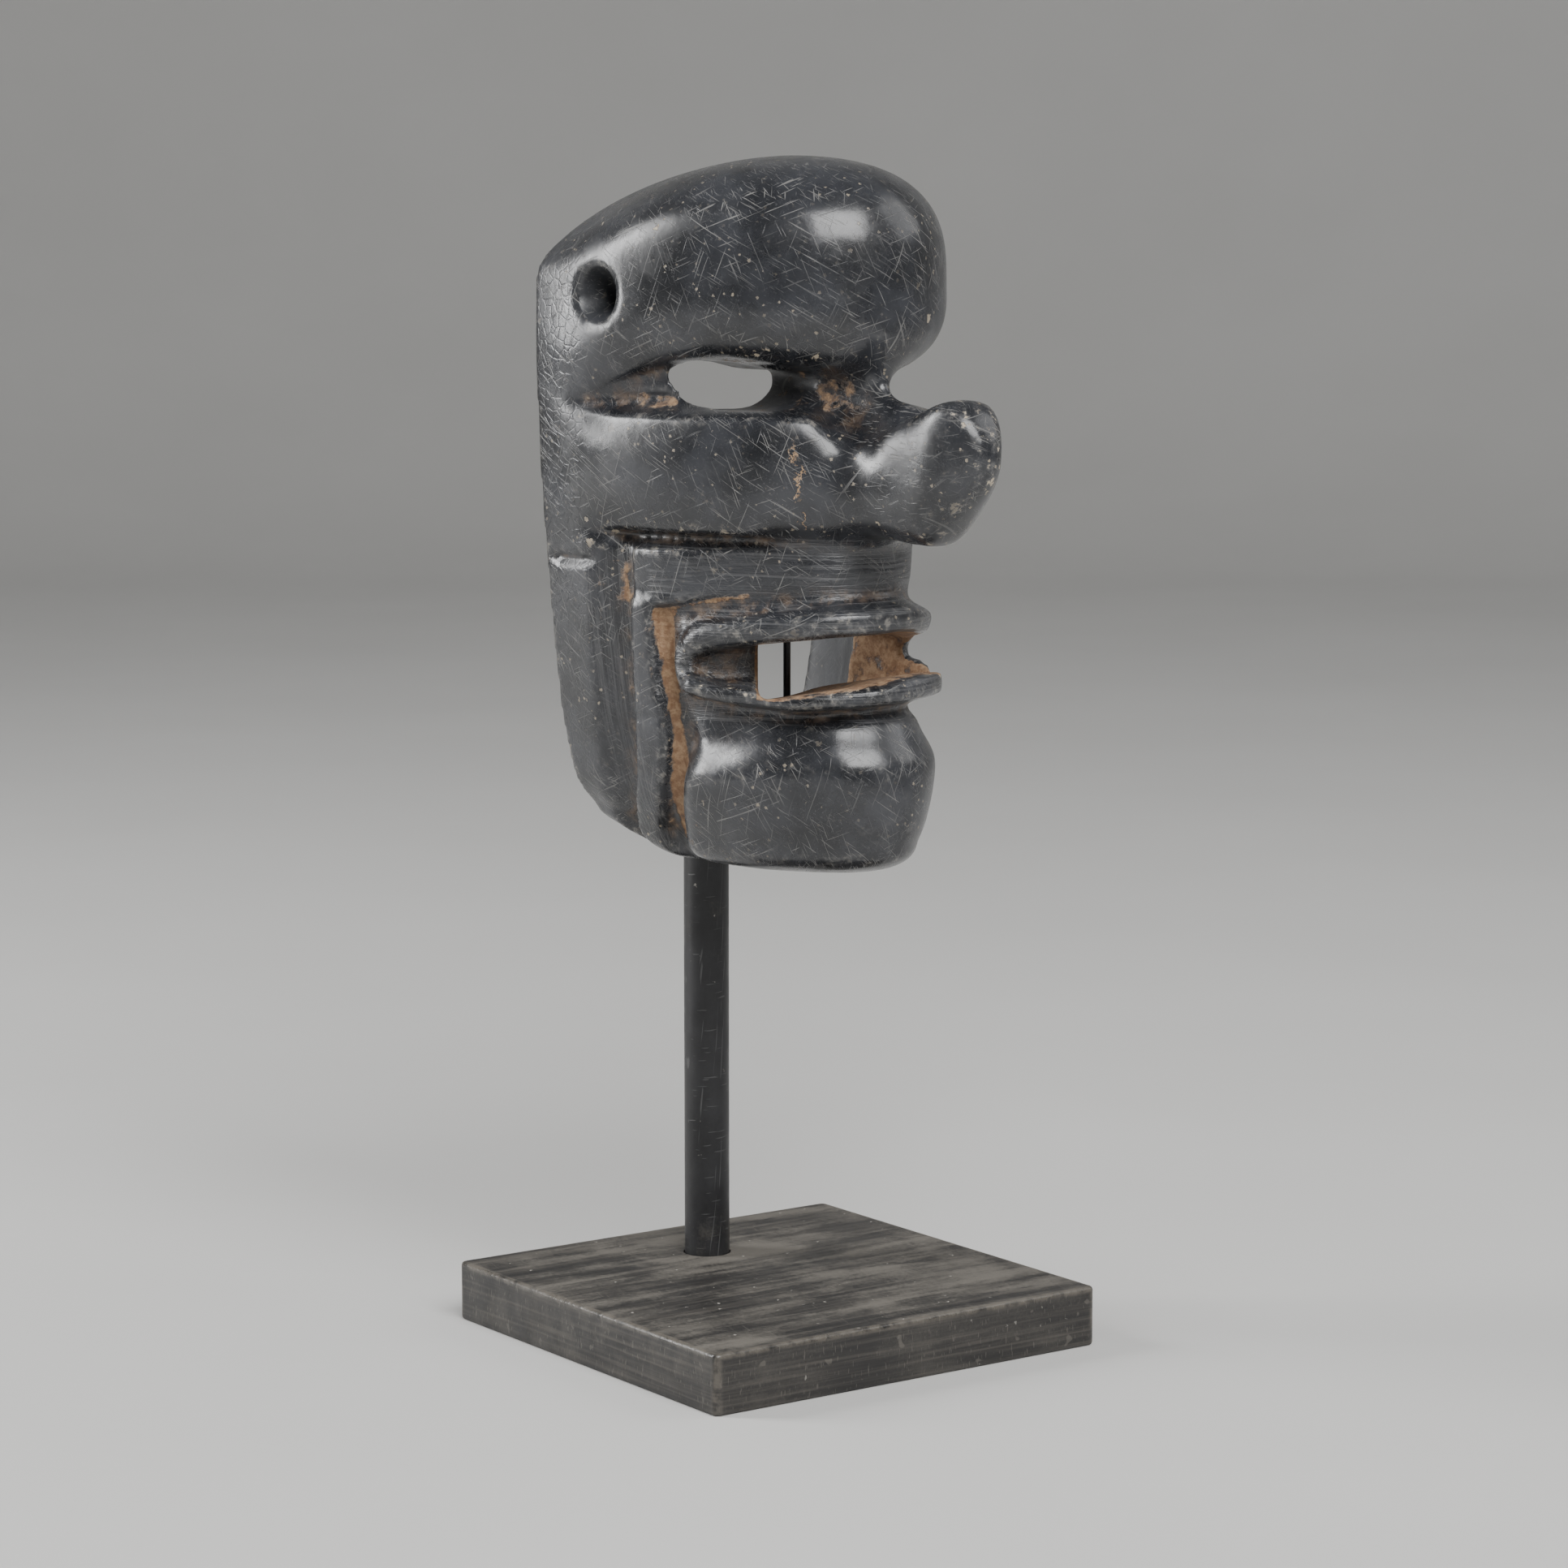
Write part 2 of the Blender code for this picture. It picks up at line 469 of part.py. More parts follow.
def shade_round(piece, degrees):
    piece.data.shade_smooth()
    piece.data.set_sharp_from_angle(angle=math.radians(degrees))


def build_base(parts, cutters):
    """A square block of painted wood with eased upright corners, a fine chamfer and a hole for the post."""
    bpy.ops.mesh.primitive_cube_add(size=1.0, location=(0, 0, BASE_HEIGHT / 2.0))
    base = bpy.context.object
    base.name = base.data.name = "base"
    base.data.transform(Matrix.Diagonal((BASE_SIDE, BASE_SIDE, BASE_HEIGHT, 1.0)))
    mesh = bmesh.new()
    mesh.from_mesh(base.data)
    upright = [edge for edge in mesh.edges if abs(edge.verts[0].co.z - edge.verts[1].co.z) > BASE_HEIGHT / 2.0]
    bmesh.ops.bevel(mesh, geom=upright, offset=BASE_CORNER_RADIUS, segments=4, profile=0.5, affect="EDGES",
                    material=-1)
    rims = [edge for edge in mesh.edges if abs(edge.verts[0].co.z - edge.verts[1].co.z) < MM / 10.0]
    bmesh.ops.bevel(mesh, geom=rims, offset=BASE_CHAMFER, segments=2, profile=0.5, affect="EDGES", material=-1)
    mesh.to_mesh(base.data)
    mesh.free()
    bpy.ops.mesh.primitive_cylinder_add(vertices=48, radius=POST_DIAMETER / 2.0 + TOUCH_GAP,
                                        depth=POST_SOCKET_DEPTH * 2.0,
                                        location=(0, POST_BEHIND_CENTRE, BASE_HEIGHT))
    socket = bpy.context.object
    socket.name = "post_socket_cutter"
    add_boolean(base, socket, "DIFFERENCE")
    as_cutter(socket, cutters)
    move_to(base, parts)
    shade_round(base, 40)
    paint(base, "black painted wood", (0.022, 0.021, 0.020), 0.55, 0.0)
    return base


def post_top():
    """Height of the post's top end, under the raised back edge of the jaw."""
    return MASK_UNDERSIDE - POST_BELOW_MASK


def build_post(parts, cutters):
    """A straight steel rod, turned from a profile, with a bore in its top end for the wire."""
    radius = POST_DIAMETER / 2.0
    foot = BASE_HEIGHT - POST_SOCKET_DEPTH + TOUCH_GAP
    top = post_top()
    profile = [(0.0, top), (radius - POST_TOP_EDGE, top), (radius, top - POST_TOP_EDGE), (radius, foot), (0.0, foot)]
    mesh = bmesh.new()
    points = [mesh.verts.new((x, 0.0, z)) for x, z in profile]
    for first, second in zip(points, points[1:]):
        mesh.edges.new((first, second))
    data = bpy.data.meshes.new("post")
    mesh.to_mesh(data)
    mesh.free()
    post = bpy.data.objects.new("post", data)
    parts.objects.link(post)
    post.location = (0, POST_BEHIND_CENTRE, 0)
    turn = post.modifiers.new("turn", "SCREW")
    turn.steps = turn.render_steps = 48
    turn.use_merge_vertices = True
    turn.merge_threshold = MERGE_DISTANCE
    bpy.ops.mesh.primitive_cylinder_add(vertices=16, radius=WIRE_DIAMETER / 2.0 + TOUCH_GAP,
                                        depth=WIRE_IN_POST * 2.0, location=(0, POST_BEHIND_CENTRE, top))
    bore = bpy.context.object
    bore.name = "wire_bore_cutter"
    add_boolean(post, bore, "DIFFERENCE")
    as_cutter(bore, cutters)
    shade_round(post, 40)
    paint(post, "black painted steel", (0.012, 0.012, 0.013), 0.38, 0.6)
    return post


def bent_route(corners, radius, steps):
    """Points along straight runs in the YZ plane, joined by round bends."""
    points = [Vector(corners[0])]
    for before, corner, after in zip(corners, corners[1:], corners[2:]):
        before, corner, after = Vector(before), Vector(corner), Vector(after)
        inward, outward = (before - corner).normalized(), (after - corner).normalized()
        half = inward.angle(outward) / 2.0
        reach = radius / math.tan(half)
        centre = corner + (inward + outward).normalized() * (radius / math.sin(half))
        start, end = corner + inward * reach - centre, corner + outward * reach - centre
        for step in range(steps + 1):
            turn = Matrix.Rotation(start.angle(end) * step / steps, 3, start.cross(end))
            points.append(centre + turn @ start)
    points.append(Vector(corners[-1]))
    return points


def wire_top():
    """Height of the wire's end, just under the hollow's ceiling over the wire."""
    low, high = hollow_ends()
    depth_share = (MASK_BACK_Y - WIRE_SPINE_Y + WIRE_DIAMETER) / HOLLOW_DEPTH
    polar = math.acos(depth_share ** (1.0 / HOLLOW_SQUARENESS))
    ceiling = (low + high) / 2.0 + (high - low) / 2.0 * math.sin(polar)
    return MASK_UNDERSIDE + ceiling * MASK_HEIGHT - TOUCH_GAP * 2.0


def build_wire(parts):
    """One bent wire: out of the post, round the back of the jaw, into the hollow and up to the crown."""
    low = hollow_ends()[0]
    behind = MASK_BACK_Y + WIRE_BEHIND_RIM + WIRE_DIAMETER / 2.0
    shelf = MASK_UNDERSIDE + low * MASK_HEIGHT + WIRE_ABOVE_SILL
    turn_out = post_top() + POST_BELOW_MASK / 2.0 + WIRE_DIAMETER
    corners = [
        (0, POST_BEHIND_CENTRE, post_top() - WIRE_IN_POST + TOUCH_GAP),
        (0, POST_BEHIND_CENTRE, turn_out),
        (0, behind, turn_out + (behind - POST_BEHIND_CENTRE) * 0.4),
        (0, behind, shelf),
        (0, WIRE_SPINE_Y, shelf),
        (0, WIRE_SPINE_Y, wire_top()),
    ]
    radii = (WIRE_BEND_RADIUS * 0.4, WIRE_BEND_RADIUS * 0.4, WIRE_BEND_RADIUS * 0.6, WIRE_BEND_RADIUS)
    points = [Vector(corners[0])]
    for place, radius in enumerate(radii):
        points += bent_route(corners[place:place + 3], radius, 4)[1:-1]
    points.append(Vector(corners[-1]))
    curve = bpy.data.curves.new("mount_wire", "CURVE")
    curve.dimensions = "3D"
    curve.bevel_depth = WIRE_DIAMETER / 2.0
    curve.bevel_resolution = 2
    curve.use_fill_caps = True
    spline = curve.splines.new("POLY")
    spline.points.add(len(points) - 1)
    for knot, place in zip(spline.points, points):
        knot.co = (*place, 1.0)
    drawn = bpy.data.objects.new("wire_route", curve)
    bpy.context.scene.collection.objects.link(drawn)
    bpy.context.view_layer.update()
    evaluated = drawn.evaluated_get(bpy.context.evaluated_depsgraph_get())
    data = bpy.data.meshes.new_from_object(evaluated)
    mesh = bmesh.new()
    mesh.from_mesh(data)
    bmesh.ops.remove_doubles(mesh, verts=mesh.verts, dist=1e-6)
    mesh.to_mesh(data)
    mesh.free()
    bpy.data.objects.remove(drawn)
    wire = bpy.data.objects.new("mount_wire", data)
    parts.objects.link(wire)
    shade_round(wire, 40)
    paint(wire, "dark steel wire", (0.05, 0.05, 0.055), 0.35, 0.8)
    return wire


def build_mask(parts, cutters):
    """The carved shell with its nose joined on and its hollow, eyes, mouth and ear holes cut out."""
    mask = outer_shell()
    nose = nose_form()
    add_boolean(mask, nose, "UNION")
    as_cutter(nose, cutters)
    hollow = hollow_form()
    tools = [hollow]
    for side in (-1, 1):
        tools.append(eye_form(side))
        tools.append(ear_hole_form(side))
    tools.append(mouth_form())
    thin = mask.modifiers.new("fewer faces", "DECIMATE")
    thin.decimate_type = "COLLAPSE"
    thin.use_collapse_triangulate = True
    bpy.context.view_layer.update()
    seen = mask.evaluated_get(bpy.context.evaluated_depsgraph_get())
    count = sum(len(face.vertices) - 2 for face in seen.data.polygons)
    thin.ratio = min(1.0, OUTSIDE_TRIANGLES / count)
    for tool in tools:
        add_boolean(mask, tool, "DIFFERENCE")
        as_cutter(tool, cutters)
    move_to(mask, parts)
    shade_round(mask, 60)
    paint(mask, "black stone", (0.028, 0.029, 0.033), 0.34, 0.0)
    return mask


def main():
    for thing in list(bpy.data.objects):
        bpy.data.objects.remove(thing)
    parts = bpy.data.collections.new("stone mask on its stand")
    cutters = bpy.data.collections.new("cutters")
    bpy.context.scene.collection.children.link(parts)
    bpy.context.scene.collection.children.link(cutters)
    build_base(parts, cutters)
    build_post(parts, cutters)
    build_wire(parts)
    build_mask(parts, cutters)


main()
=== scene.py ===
# %% [markdown]
# # A black stone mask on its stand
# The object is a small carved mask of dark, polished stone. A bent wire holds it
# from behind, a black steel rod carries the wire, and a square block of painted
# wood carries the rod. This lesson loads the solid model first, so every piece
# made here lands exactly where the solids say.

import math

import bmesh
import bpy
import numpy as np
from mathutils import Matrix, Vector
from mathutils.bvhtree import BVHTree


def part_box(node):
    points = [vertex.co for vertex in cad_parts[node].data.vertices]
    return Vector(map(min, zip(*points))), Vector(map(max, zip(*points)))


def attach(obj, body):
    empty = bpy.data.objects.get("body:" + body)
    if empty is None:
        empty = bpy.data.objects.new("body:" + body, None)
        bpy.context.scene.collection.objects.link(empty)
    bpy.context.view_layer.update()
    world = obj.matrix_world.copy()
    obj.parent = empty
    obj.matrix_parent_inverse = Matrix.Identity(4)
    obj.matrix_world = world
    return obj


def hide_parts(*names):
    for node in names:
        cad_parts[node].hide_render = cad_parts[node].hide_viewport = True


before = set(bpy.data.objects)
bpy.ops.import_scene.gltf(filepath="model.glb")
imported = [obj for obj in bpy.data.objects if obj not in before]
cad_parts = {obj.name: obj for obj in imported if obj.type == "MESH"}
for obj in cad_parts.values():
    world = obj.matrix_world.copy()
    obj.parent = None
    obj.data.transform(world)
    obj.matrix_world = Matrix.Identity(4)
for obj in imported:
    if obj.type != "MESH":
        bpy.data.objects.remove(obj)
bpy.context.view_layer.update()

# %% [markdown]
# ## Measures and two small helpers
# The mask is described in shares of its own height: a height runs from 0 at the
# chin to 1 at the crown, and a place round the face is an angle from the
# midline, 90 degrees being the rim. A profile is a few (place, value) pairs
# read with a little easing, the way a carver reads a template.

# %% Measures
MASK_HEIGHT = 0.1503
MASK_UNDERSIDE = 0.105
MASK_BACK_Y = 0.030


def smooth(value, low, high):
    """0 below low, 1 above high, with an eased rise between; low may be above high."""
    share = np.clip((value - low) / (high - low), 0.0, 1.0)
    return share * share * (3.0 - 2.0 * share)


def along(stops, value, easing=0.012):
    """Read a profile given as (place, value) pairs, eased by a smoothing average."""
    places, values = zip(*stops)
    spread = (places[-1] - places[0]) * easing
    total = sum(np.interp(value + spread * step, places, values) for step in (-1.5, -0.5, 0.5, 1.5))
    return total / 4.0


# %% [markdown]
# ## The plain form
# Before any carving the mask is a tall half-ellipse in plan, domed at the crown
# and blunt at the chin. It could be sculpted by hand, but a sphere whose points
# are moved by a few profiles keeps every size in view and is easy to correct.

# %% Profiles of the plain form
HALF_WIDTH = ((0.0, 0.150), (0.04, 0.172), (0.08, 0.198), (0.12, 0.214), (0.21, 0.234), (0.31, 0.246),
              (0.40, 0.254), (0.51, 0.264), (0.61, 0.270), (0.74, 0.274), (0.82, 0.272), (1.0, 0.270))
FRONT_DEPTH = ((0.0, 0.462), (0.06, 0.498), (0.13, 0.505), (0.27, 0.490), (0.38, 0.485), (0.50, 0.494),
               (0.60, 0.495), (0.80, 0.488), (1.0, 0.470))
CROWN_START = 0.815
CHIN_START = 0.045
CROWN_SIDE_DROP = 0.100
CROWN_FRONT_SHARE = 0.35
CROWN_BACK_DROP = 0.025
CROWN_HALF_WIDTH = 0.27
JAW_LIFT = 0.034
TYPICAL_HALF_WIDTH = 0.245
TYPICAL_DEPTH = 0.490


def arc_share(degrees):
    """Distance round the face from the midline, as a share of the mask's height."""
    steps = np.radians(np.linspace(0.0, 100.0, 201))
    speed = np.hypot(TYPICAL_HALF_WIDTH * np.cos(steps), TYPICAL_DEPTH * np.sin(steps))
    length = np.concatenate([[0.0], np.cumsum((speed[1:] + speed[:-1]) / 2.0 * np.diff(steps))])
    return np.interp(np.radians(degrees), steps, length)


# %% [markdown]
# ## The carving
# The carver sank a slit under the brow, rounded the bar of the cheeks, cut a
# stepped square frame round the mouth and left the lips and chin standing. Each
# is a height over the plain form, so they can be added up like layers.

# %% Heights of the carving
BROW_EDGE = ((0, 0.695), (13, 0.700), (33, 0.716), (50, 0.726), (61, 0.719), (74, 0.688), (83, 0.650),
             (90, 0.640))
EYE_DEPTH = ((0, 0.040), (3, 0.042), (6, 0.062), (12, 0.092), (22, 0.092), (36, 0.084), (50, 0.070),
             (65, 0.046), (76, 0.020), (84, 0.0), (90, 0.0))
CHEEK_TOP = 0.648
CHEEK_FOOT = 0.480
FRAME_TOP = 0.457
PANEL_EDGE = ((0, 0.4185), (12, 0.4175), (24, 0.4115), (36, 0.4045), (53, 0.391), (64.7, 0.375),
              (90, 0.360))
MOUTH_TOP = ((-56, 0.292), (-54.5, 0.304), (-52, 0.311), (-47, 0.3165), (-33.5, 0.326), (-18.7, 0.333),
             (13.6, 0.338), (35, 0.324), (50, 0.311), (56, 0.292))
MOUTH_FOOT = ((-56, 0.290), (-54.5, 0.279), (-51, 0.2725), (-38, 0.2715), (-31, 0.2700), (-22, 0.2725),
              (-5, 0.278), (6, 0.287), (16, 0.290), (35, 0.290), (50, 0.280), (56, 0.290))
LIP_FOOT = ((-90, 0.250), (-55, 0.2580), (-48, 0.2500), (-38, 0.2450), (-31, 0.2420), (-20, 0.2460),
            (-2, 0.2510), (19, 0.2490), (35, 0.2440), (90, 0.245))
LIP_GROOVE = 0.012
CHIN_TOP = ((0, 0.2175), (20, 0.2155), (33, 0.2120), (44, 0.2040), (56, 0.1940), (62, 0.187),
            (90, 0.187))
BAND_DEG = ((0.0, 85.0), (0.07, 82.6), (0.174, 79.6), (0.233, 79.2), (0.31, 78.6), (0.43, 77.3), (1.0, 77.3))
FRAME_OUTER_DEG = ((0.0, 82.0), (0.058, 78.2), (0.12, 73.9), (0.195, 71.6), (0.25, 70.6), (0.31, 69.9),
                   (0.386, 69.3), (0.46, 68.9), (1.0, 68.9))
FRAME_INNER_DEG = ((0.0, 74.8), (0.024, 73.4), (0.108, 68.2), (0.164, 64.6), (0.211, 63.7), (0.26, 64.3),
                   (0.314, 64.5), (0.363, 64.4), (1.0, 64.4))
CHIN_END_DEG = ((0.0, 69.0), (0.02, 67.9), (0.106, 63.4), (0.1666, 60.6), (0.22, 60.6), (1.0, 60.6))
LIP_END_DEG = 61.6
MOUTH_END_DEG = 55.5
UPPER_LIP_LEVEL = -0.009
LOWER_LIP_LEVEL = 0.008
LIP_END_LEVEL = -0.012
MOUTH_RECESS = 0.075
GROOVE_DEPTH = 0.027
NOTCH_DEPTH = 0.012
NOTCH_LEVEL = 0.4345


def eye_groove(degrees, height):
    """Depth of the long slit under the brow; beside the nose its lower side opens into a saddle."""
    above = np.clip((along(BROW_EDGE, degrees) + 0.100 - height) / 0.107, 0.0, 1.0)
    under_brow = 1.0 - np.sqrt(1.0 - above ** 2.6)
    saddle = smooth(degrees, 27.0, 12.0)
    over_cheek = smooth(height, CHEEK_TOP - 0.010 - 0.070 * saddle, CHEEK_TOP + 0.020)
    return along(EYE_DEPTH, degrees) * under_brow * over_cheek


def cheek_bar(degrees, height):
    """The broad bar across the cheeks, with a soft valley beside the nose."""
    middle = (CHEEK_TOP + CHEEK_FOOT) / 2.0
    reach = (CHEEK_TOP - CHEEK_FOOT) / 2.0
    inside = np.clip(1.0 - np.abs(height - middle) / (reach * 1.05), 0.0, 1.0)
    rounded = 0.020 * (1.0 - (1.0 - inside) ** 3.2) - 0.020
    near = smooth(height, CHEEK_FOOT - 0.02, CHEEK_FOOT) * smooth(height, CHEEK_TOP + 0.03, CHEEK_TOP)
    valley = 0.006 * np.exp(-((degrees - 27.0) / 6.0) ** 2) * inside ** 0.3
    return (rounded * smooth(degrees, 82.0, 70.0) - valley) * near


def lips(degrees, height, floor):
    """The ring of the lips, and how far each point is from the mouth (0) to the groove (1)."""
    turn = np.abs(degrees)
    top, foot = along(MOUTH_TOP, degrees), along(MOUTH_FOOT, degrees)
    mouth_end = arc_share(MOUTH_END_DEG)
    beside = np.maximum(arc_share(turn) - mouth_end, 0.0) / (arc_share(LIP_END_DEG) - mouth_end)
    over = np.maximum(height - top, 0.0) / (along(PANEL_EDGE, turn) - top)
    lip_foot = along(LIP_FOOT, degrees) - LIP_GROOVE
    under = np.maximum(foot - height, 0.0) / (foot - lip_foot)
    upper = height > (top + foot) / 2.0
    beyond = np.where(upper, over, under)
    ring = np.hypot(beside, beyond)
    sideways = (beside / np.maximum(ring, 1e-6)) ** 2
    upper_roll = (0.80 + 0.20 * smooth(ring, 0.0, 0.36)) * smooth(ring, 0.74, 0.42)
    lower_roll = smooth(ring, 1.0, 0.62)
    end_roll = smooth(ring, 1.0, 0.70)
    roll = np.where(upper, upper_roll, lower_roll) * (1.0 - sideways) + end_roll * sideways
    roll = roll * smooth(ring, 0.0, 0.14)
    level = np.where(upper, UPPER_LIP_LEVEL, LOWER_LIP_LEVEL) * (1.0 - sideways) + LIP_END_LEVEL * sideways
    recess = MOUTH_RECESS * smooth(turn, MOUTH_END_DEG, 36.0) * smooth(ring, 0.08, 0.0)
    return floor + (level - floor) * roll - recess, ring


def lower_face(degrees, height):
    """Rim band, sloping groove, square frame, inner groove, lips and chin."""
    turn = np.abs(degrees)
    below = smooth(height, CHEEK_FOOT + 0.003, CHEEK_FOOT - 0.008)
    front = smooth(turn, 64.0, 40.0)
    outer_deg = along(FRAME_OUTER_DEG, height)
    slope = -GROOVE_DEPTH * smooth(turn, along(BAND_DEG, height) + 1.8, outer_deg + 1.0)
    under_cheek = smooth(turn, 76.0, 70.0) * smooth(height, FRAME_TOP - 0.004, FRAME_TOP + 0.007)
    outside = slope - 0.022 * under_cheek * (0.6 + 0.4 * front)
    stile = -0.006 - 0.028 * front - 0.008 * smooth(height, 0.374, 0.394)
    stile = stile - 0.006 * np.exp(-((height - 0.215) / 0.004) ** 2) * smooth(turn, 60.0, 64.0)
    in_frame = smooth(turn, outer_deg + 0.4, outer_deg - 0.4)
    in_frame = in_frame * smooth(height, FRAME_TOP + 0.004, FRAME_TOP - 0.003)
    surface = outside * (1.0 - in_frame) + stile * in_frame

    edge = along(PANEL_EDGE, turn)
    inner_deg = along(FRAME_INNER_DEG, height)
    inner = smooth(turn, inner_deg + 0.45, inner_deg - 0.45) * smooth(height, edge + 0.004, edge - 0.010)
    floor = -0.030 - 0.014 * front
    surface = surface * (1.0 - inner) + floor * inner

    lip, ring = lips(degrees, height, floor)
    in_lip = smooth(ring, 1.0, 0.97)
    surface = surface * (1.0 - in_lip) + lip * in_lip

    chin_top = along(CHIN_TOP, turn)
    chin_end = along(CHIN_END_DEG, height)
    chin = -0.026 * (1.0 - smooth(height, chin_top + 0.004, chin_top - 0.070)) ** 1.5
    chin = chin + 0.008 * np.exp(-((turn - 46.0) / 11.0) ** 2) * smooth(height, chin_top, chin_top - 0.07)
    chin = chin - 0.014 * smooth(turn, chin_end - 6.0, chin_end + 1.0) ** 2
    lip_low = along(LIP_FOOT, degrees) - LIP_GROOVE
    in_chin = smooth(height, lip_low + 0.003, chin_top - 0.004)
    in_chin = in_chin * smooth(turn, chin_end + 0.9, chin_end - 0.5)
    surface = surface * (1.0 - in_chin) + chin * in_chin
    return surface * below


def carving(degrees, height):
    """Height of the carved surface over the plain form, as a share of the mask's height."""
    turn = np.abs(degrees)
    notch = NOTCH_DEPTH * np.exp(-((height - NOTCH_LEVEL) / 0.0055) ** 2)
    notch = notch * smooth(turn, 76.0, 79.0) * smooth(turn, 90.0, 86.0)
    return cheek_bar(turn, height) + lower_face(degrees, height) - eye_groove(turn, height) - notch


# %% [markdown]
# ## The outside of the mask
# A UV sphere has rows and columns that map neatly to height and angle. Its
# poles become the crown and the underside of the chin, and the last columns on
# each side fold round to make the flat back.

# %% Shape the outside
COLUMNS = 460
ROWS = 330
BACK_SHARE = 0.10
BOTTOM_ROWS = 0.06
TOP_ROWS = 0.80
CROWN_AXIS_Y = -0.20


def unit_sphere(columns, rows):
    """A UV sphere whose points are read as a place around and a place up."""
    mesh = bmesh.new()
    bmesh.ops.create_uvsphere(mesh, u_segments=columns, v_segments=rows, radius=1.0)
    points = np.array([vert.co for vert in mesh.verts])
    around = np.arctan2(points[:, 0], -points[:, 1]) / math.pi
    up = 1.0 - np.arccos(np.clip(points[:, 2], -1.0, 1.0)) / math.pi
    return mesh, around, up


def put(mesh, x, y, z):
    """Move a bmesh's points to places given in shares of the mask's height."""
    for vert, place in zip(mesh.verts, zip(x, y, z)):
        vert.co = place
    bmesh.ops.scale(mesh, vec=(MASK_HEIGHT,) * 3, verts=mesh.verts)
    bmesh.ops.translate(mesh, vec=(0.0, MASK_BACK_Y, MASK_UNDERSIDE), verts=mesh.verts)


def piece_from(mesh, name):
    """Turn a bmesh into an object at the origin with its faces pointing out.

    A cutter whose faces point inwards would cut nothing, so the sign of the volume is looked at too.
    """
    bmesh.ops.remove_doubles(mesh, verts=mesh.verts, dist=1e-6)
    bmesh.ops.dissolve_degenerate(mesh, dist=1e-7, edges=mesh.edges)
    bmesh.ops.recalc_face_normals(mesh, faces=mesh.faces)
    if mesh.calc_volume(signed=True) < 0.0:
        bmesh.ops.reverse_faces(mesh, faces=mesh.faces)
    data = bpy.data.meshes.new(name)
    mesh.to_mesh(data)
    mesh.free()
    data.shade_smooth()
    piece = bpy.data.objects.new(name, data)
    bpy.context.scene.collection.objects.link(piece)
    print(name, len(data.polygons), "faces")
    return piece


def crown_arch(x, front_share):
    """How far the crown has dropped at a place across, as a share of the mask's height."""
    side = np.clip(np.abs(x) / CROWN_HALF_WIDTH, 0.0, 1.0)
    return CROWN_SIDE_DROP * front_share * side ** 1.65


def outer_shell():
    """The mask's outside, carved, with a flat back, as one closed mesh."""
    mesh, around, up = unit_sphere(COLUMNS, ROWS)
    low = np.clip(up / BOTTOM_ROWS, 0.0, 1.0)
    high = np.clip((1.0 - up) / (1.0 - TOP_ROWS), 0.0, 1.0)
    body = np.clip((up - BOTTOM_ROWS) / (TOP_ROWS - BOTTOM_ROWS), 0.0, 1.0)
    height = CHIN_START + body * (CROWN_START - CHIN_START)
    front = np.abs(around) <= 1.0 - BACK_SHARE
    degrees = np.clip(around / (1.0 - BACK_SHARE), -1.0, 1.0) * 90.0
    angle = np.radians(degrees)
    half_width, depth = along(HALF_WIDTH, height), along(FRONT_DEPTH, height)
    normal_x, normal_y = np.sin(angle) / half_width, -np.cos(angle) / depth
    length = np.hypot(normal_x, normal_y)
    relief = carving(degrees, height)
    x = half_width * np.sin(angle) + relief * normal_x / length
    y = -depth * np.cos(angle) + relief * normal_y / length
    across = np.clip((1.0 - np.abs(around)) / BACK_SHARE, 0.0, 1.0)
    x = np.where(front, x, x * across)
    y = np.where(front, y, 0.0)
    is_top, is_bottom = up > TOP_ROWS, up < BOTTOM_ROWS
    scale = np.where(is_top, np.sin(high * math.pi / 2.0) ** 0.90, 1.0)
    scale = np.where(is_bottom, np.sin(low * math.pi / 2.0) ** 0.62, scale)
    squarer = 3.2 + 0.6 * smooth(y, -0.25, 0.0)
    rise = np.power(np.clip(1.0 - scale ** squarer, 0.0, 1.0), 1.0 / squarer)
    drop = np.sqrt(np.clip(1.0 - scale ** 5.0, 0.0, 1.0))
    x = x * scale
    flat_back = 1.0 - (1.0 - scale) ** 2.2
    y = CROWN_AXIS_Y + (y - CROWN_AXIS_Y) * np.where(is_top & (y > CROWN_AXIS_Y), flat_back, scale)
    front_share = CROWN_FRONT_SHARE + (1.0 - CROWN_FRONT_SHARE) * smooth(y, -0.30, 0.0)
    back = np.clip((y + 0.25) / 0.25, 0.0, 1.0)
    crown = 1.0 - crown_arch(x, front_share) - CROWN_BACK_DROP * back ** 1.5
    z = np.where(is_top, CROWN_START + (crown - CROWN_START) * rise, height)
    z = np.where(is_bottom, CHIN_START * (1.0 - drop), z)
    z = z + JAW_LIFT * smooth(y, -0.15, 0.0) * smooth(z, 0.14, 0.0)
    put(mesh, x, y, z)
    return piece_from(mesh, "stone_mask")


stone_mask = outer_shell()

# %% [markdown]
# ## The nose
# The nose juts forward and turns up at its tip. It overhangs, so it can't be a
# height over the face. It is a second sphere drawn out along Y, with profiles
# for its width, top edge, ridge and underside, joined on by a Boolean.

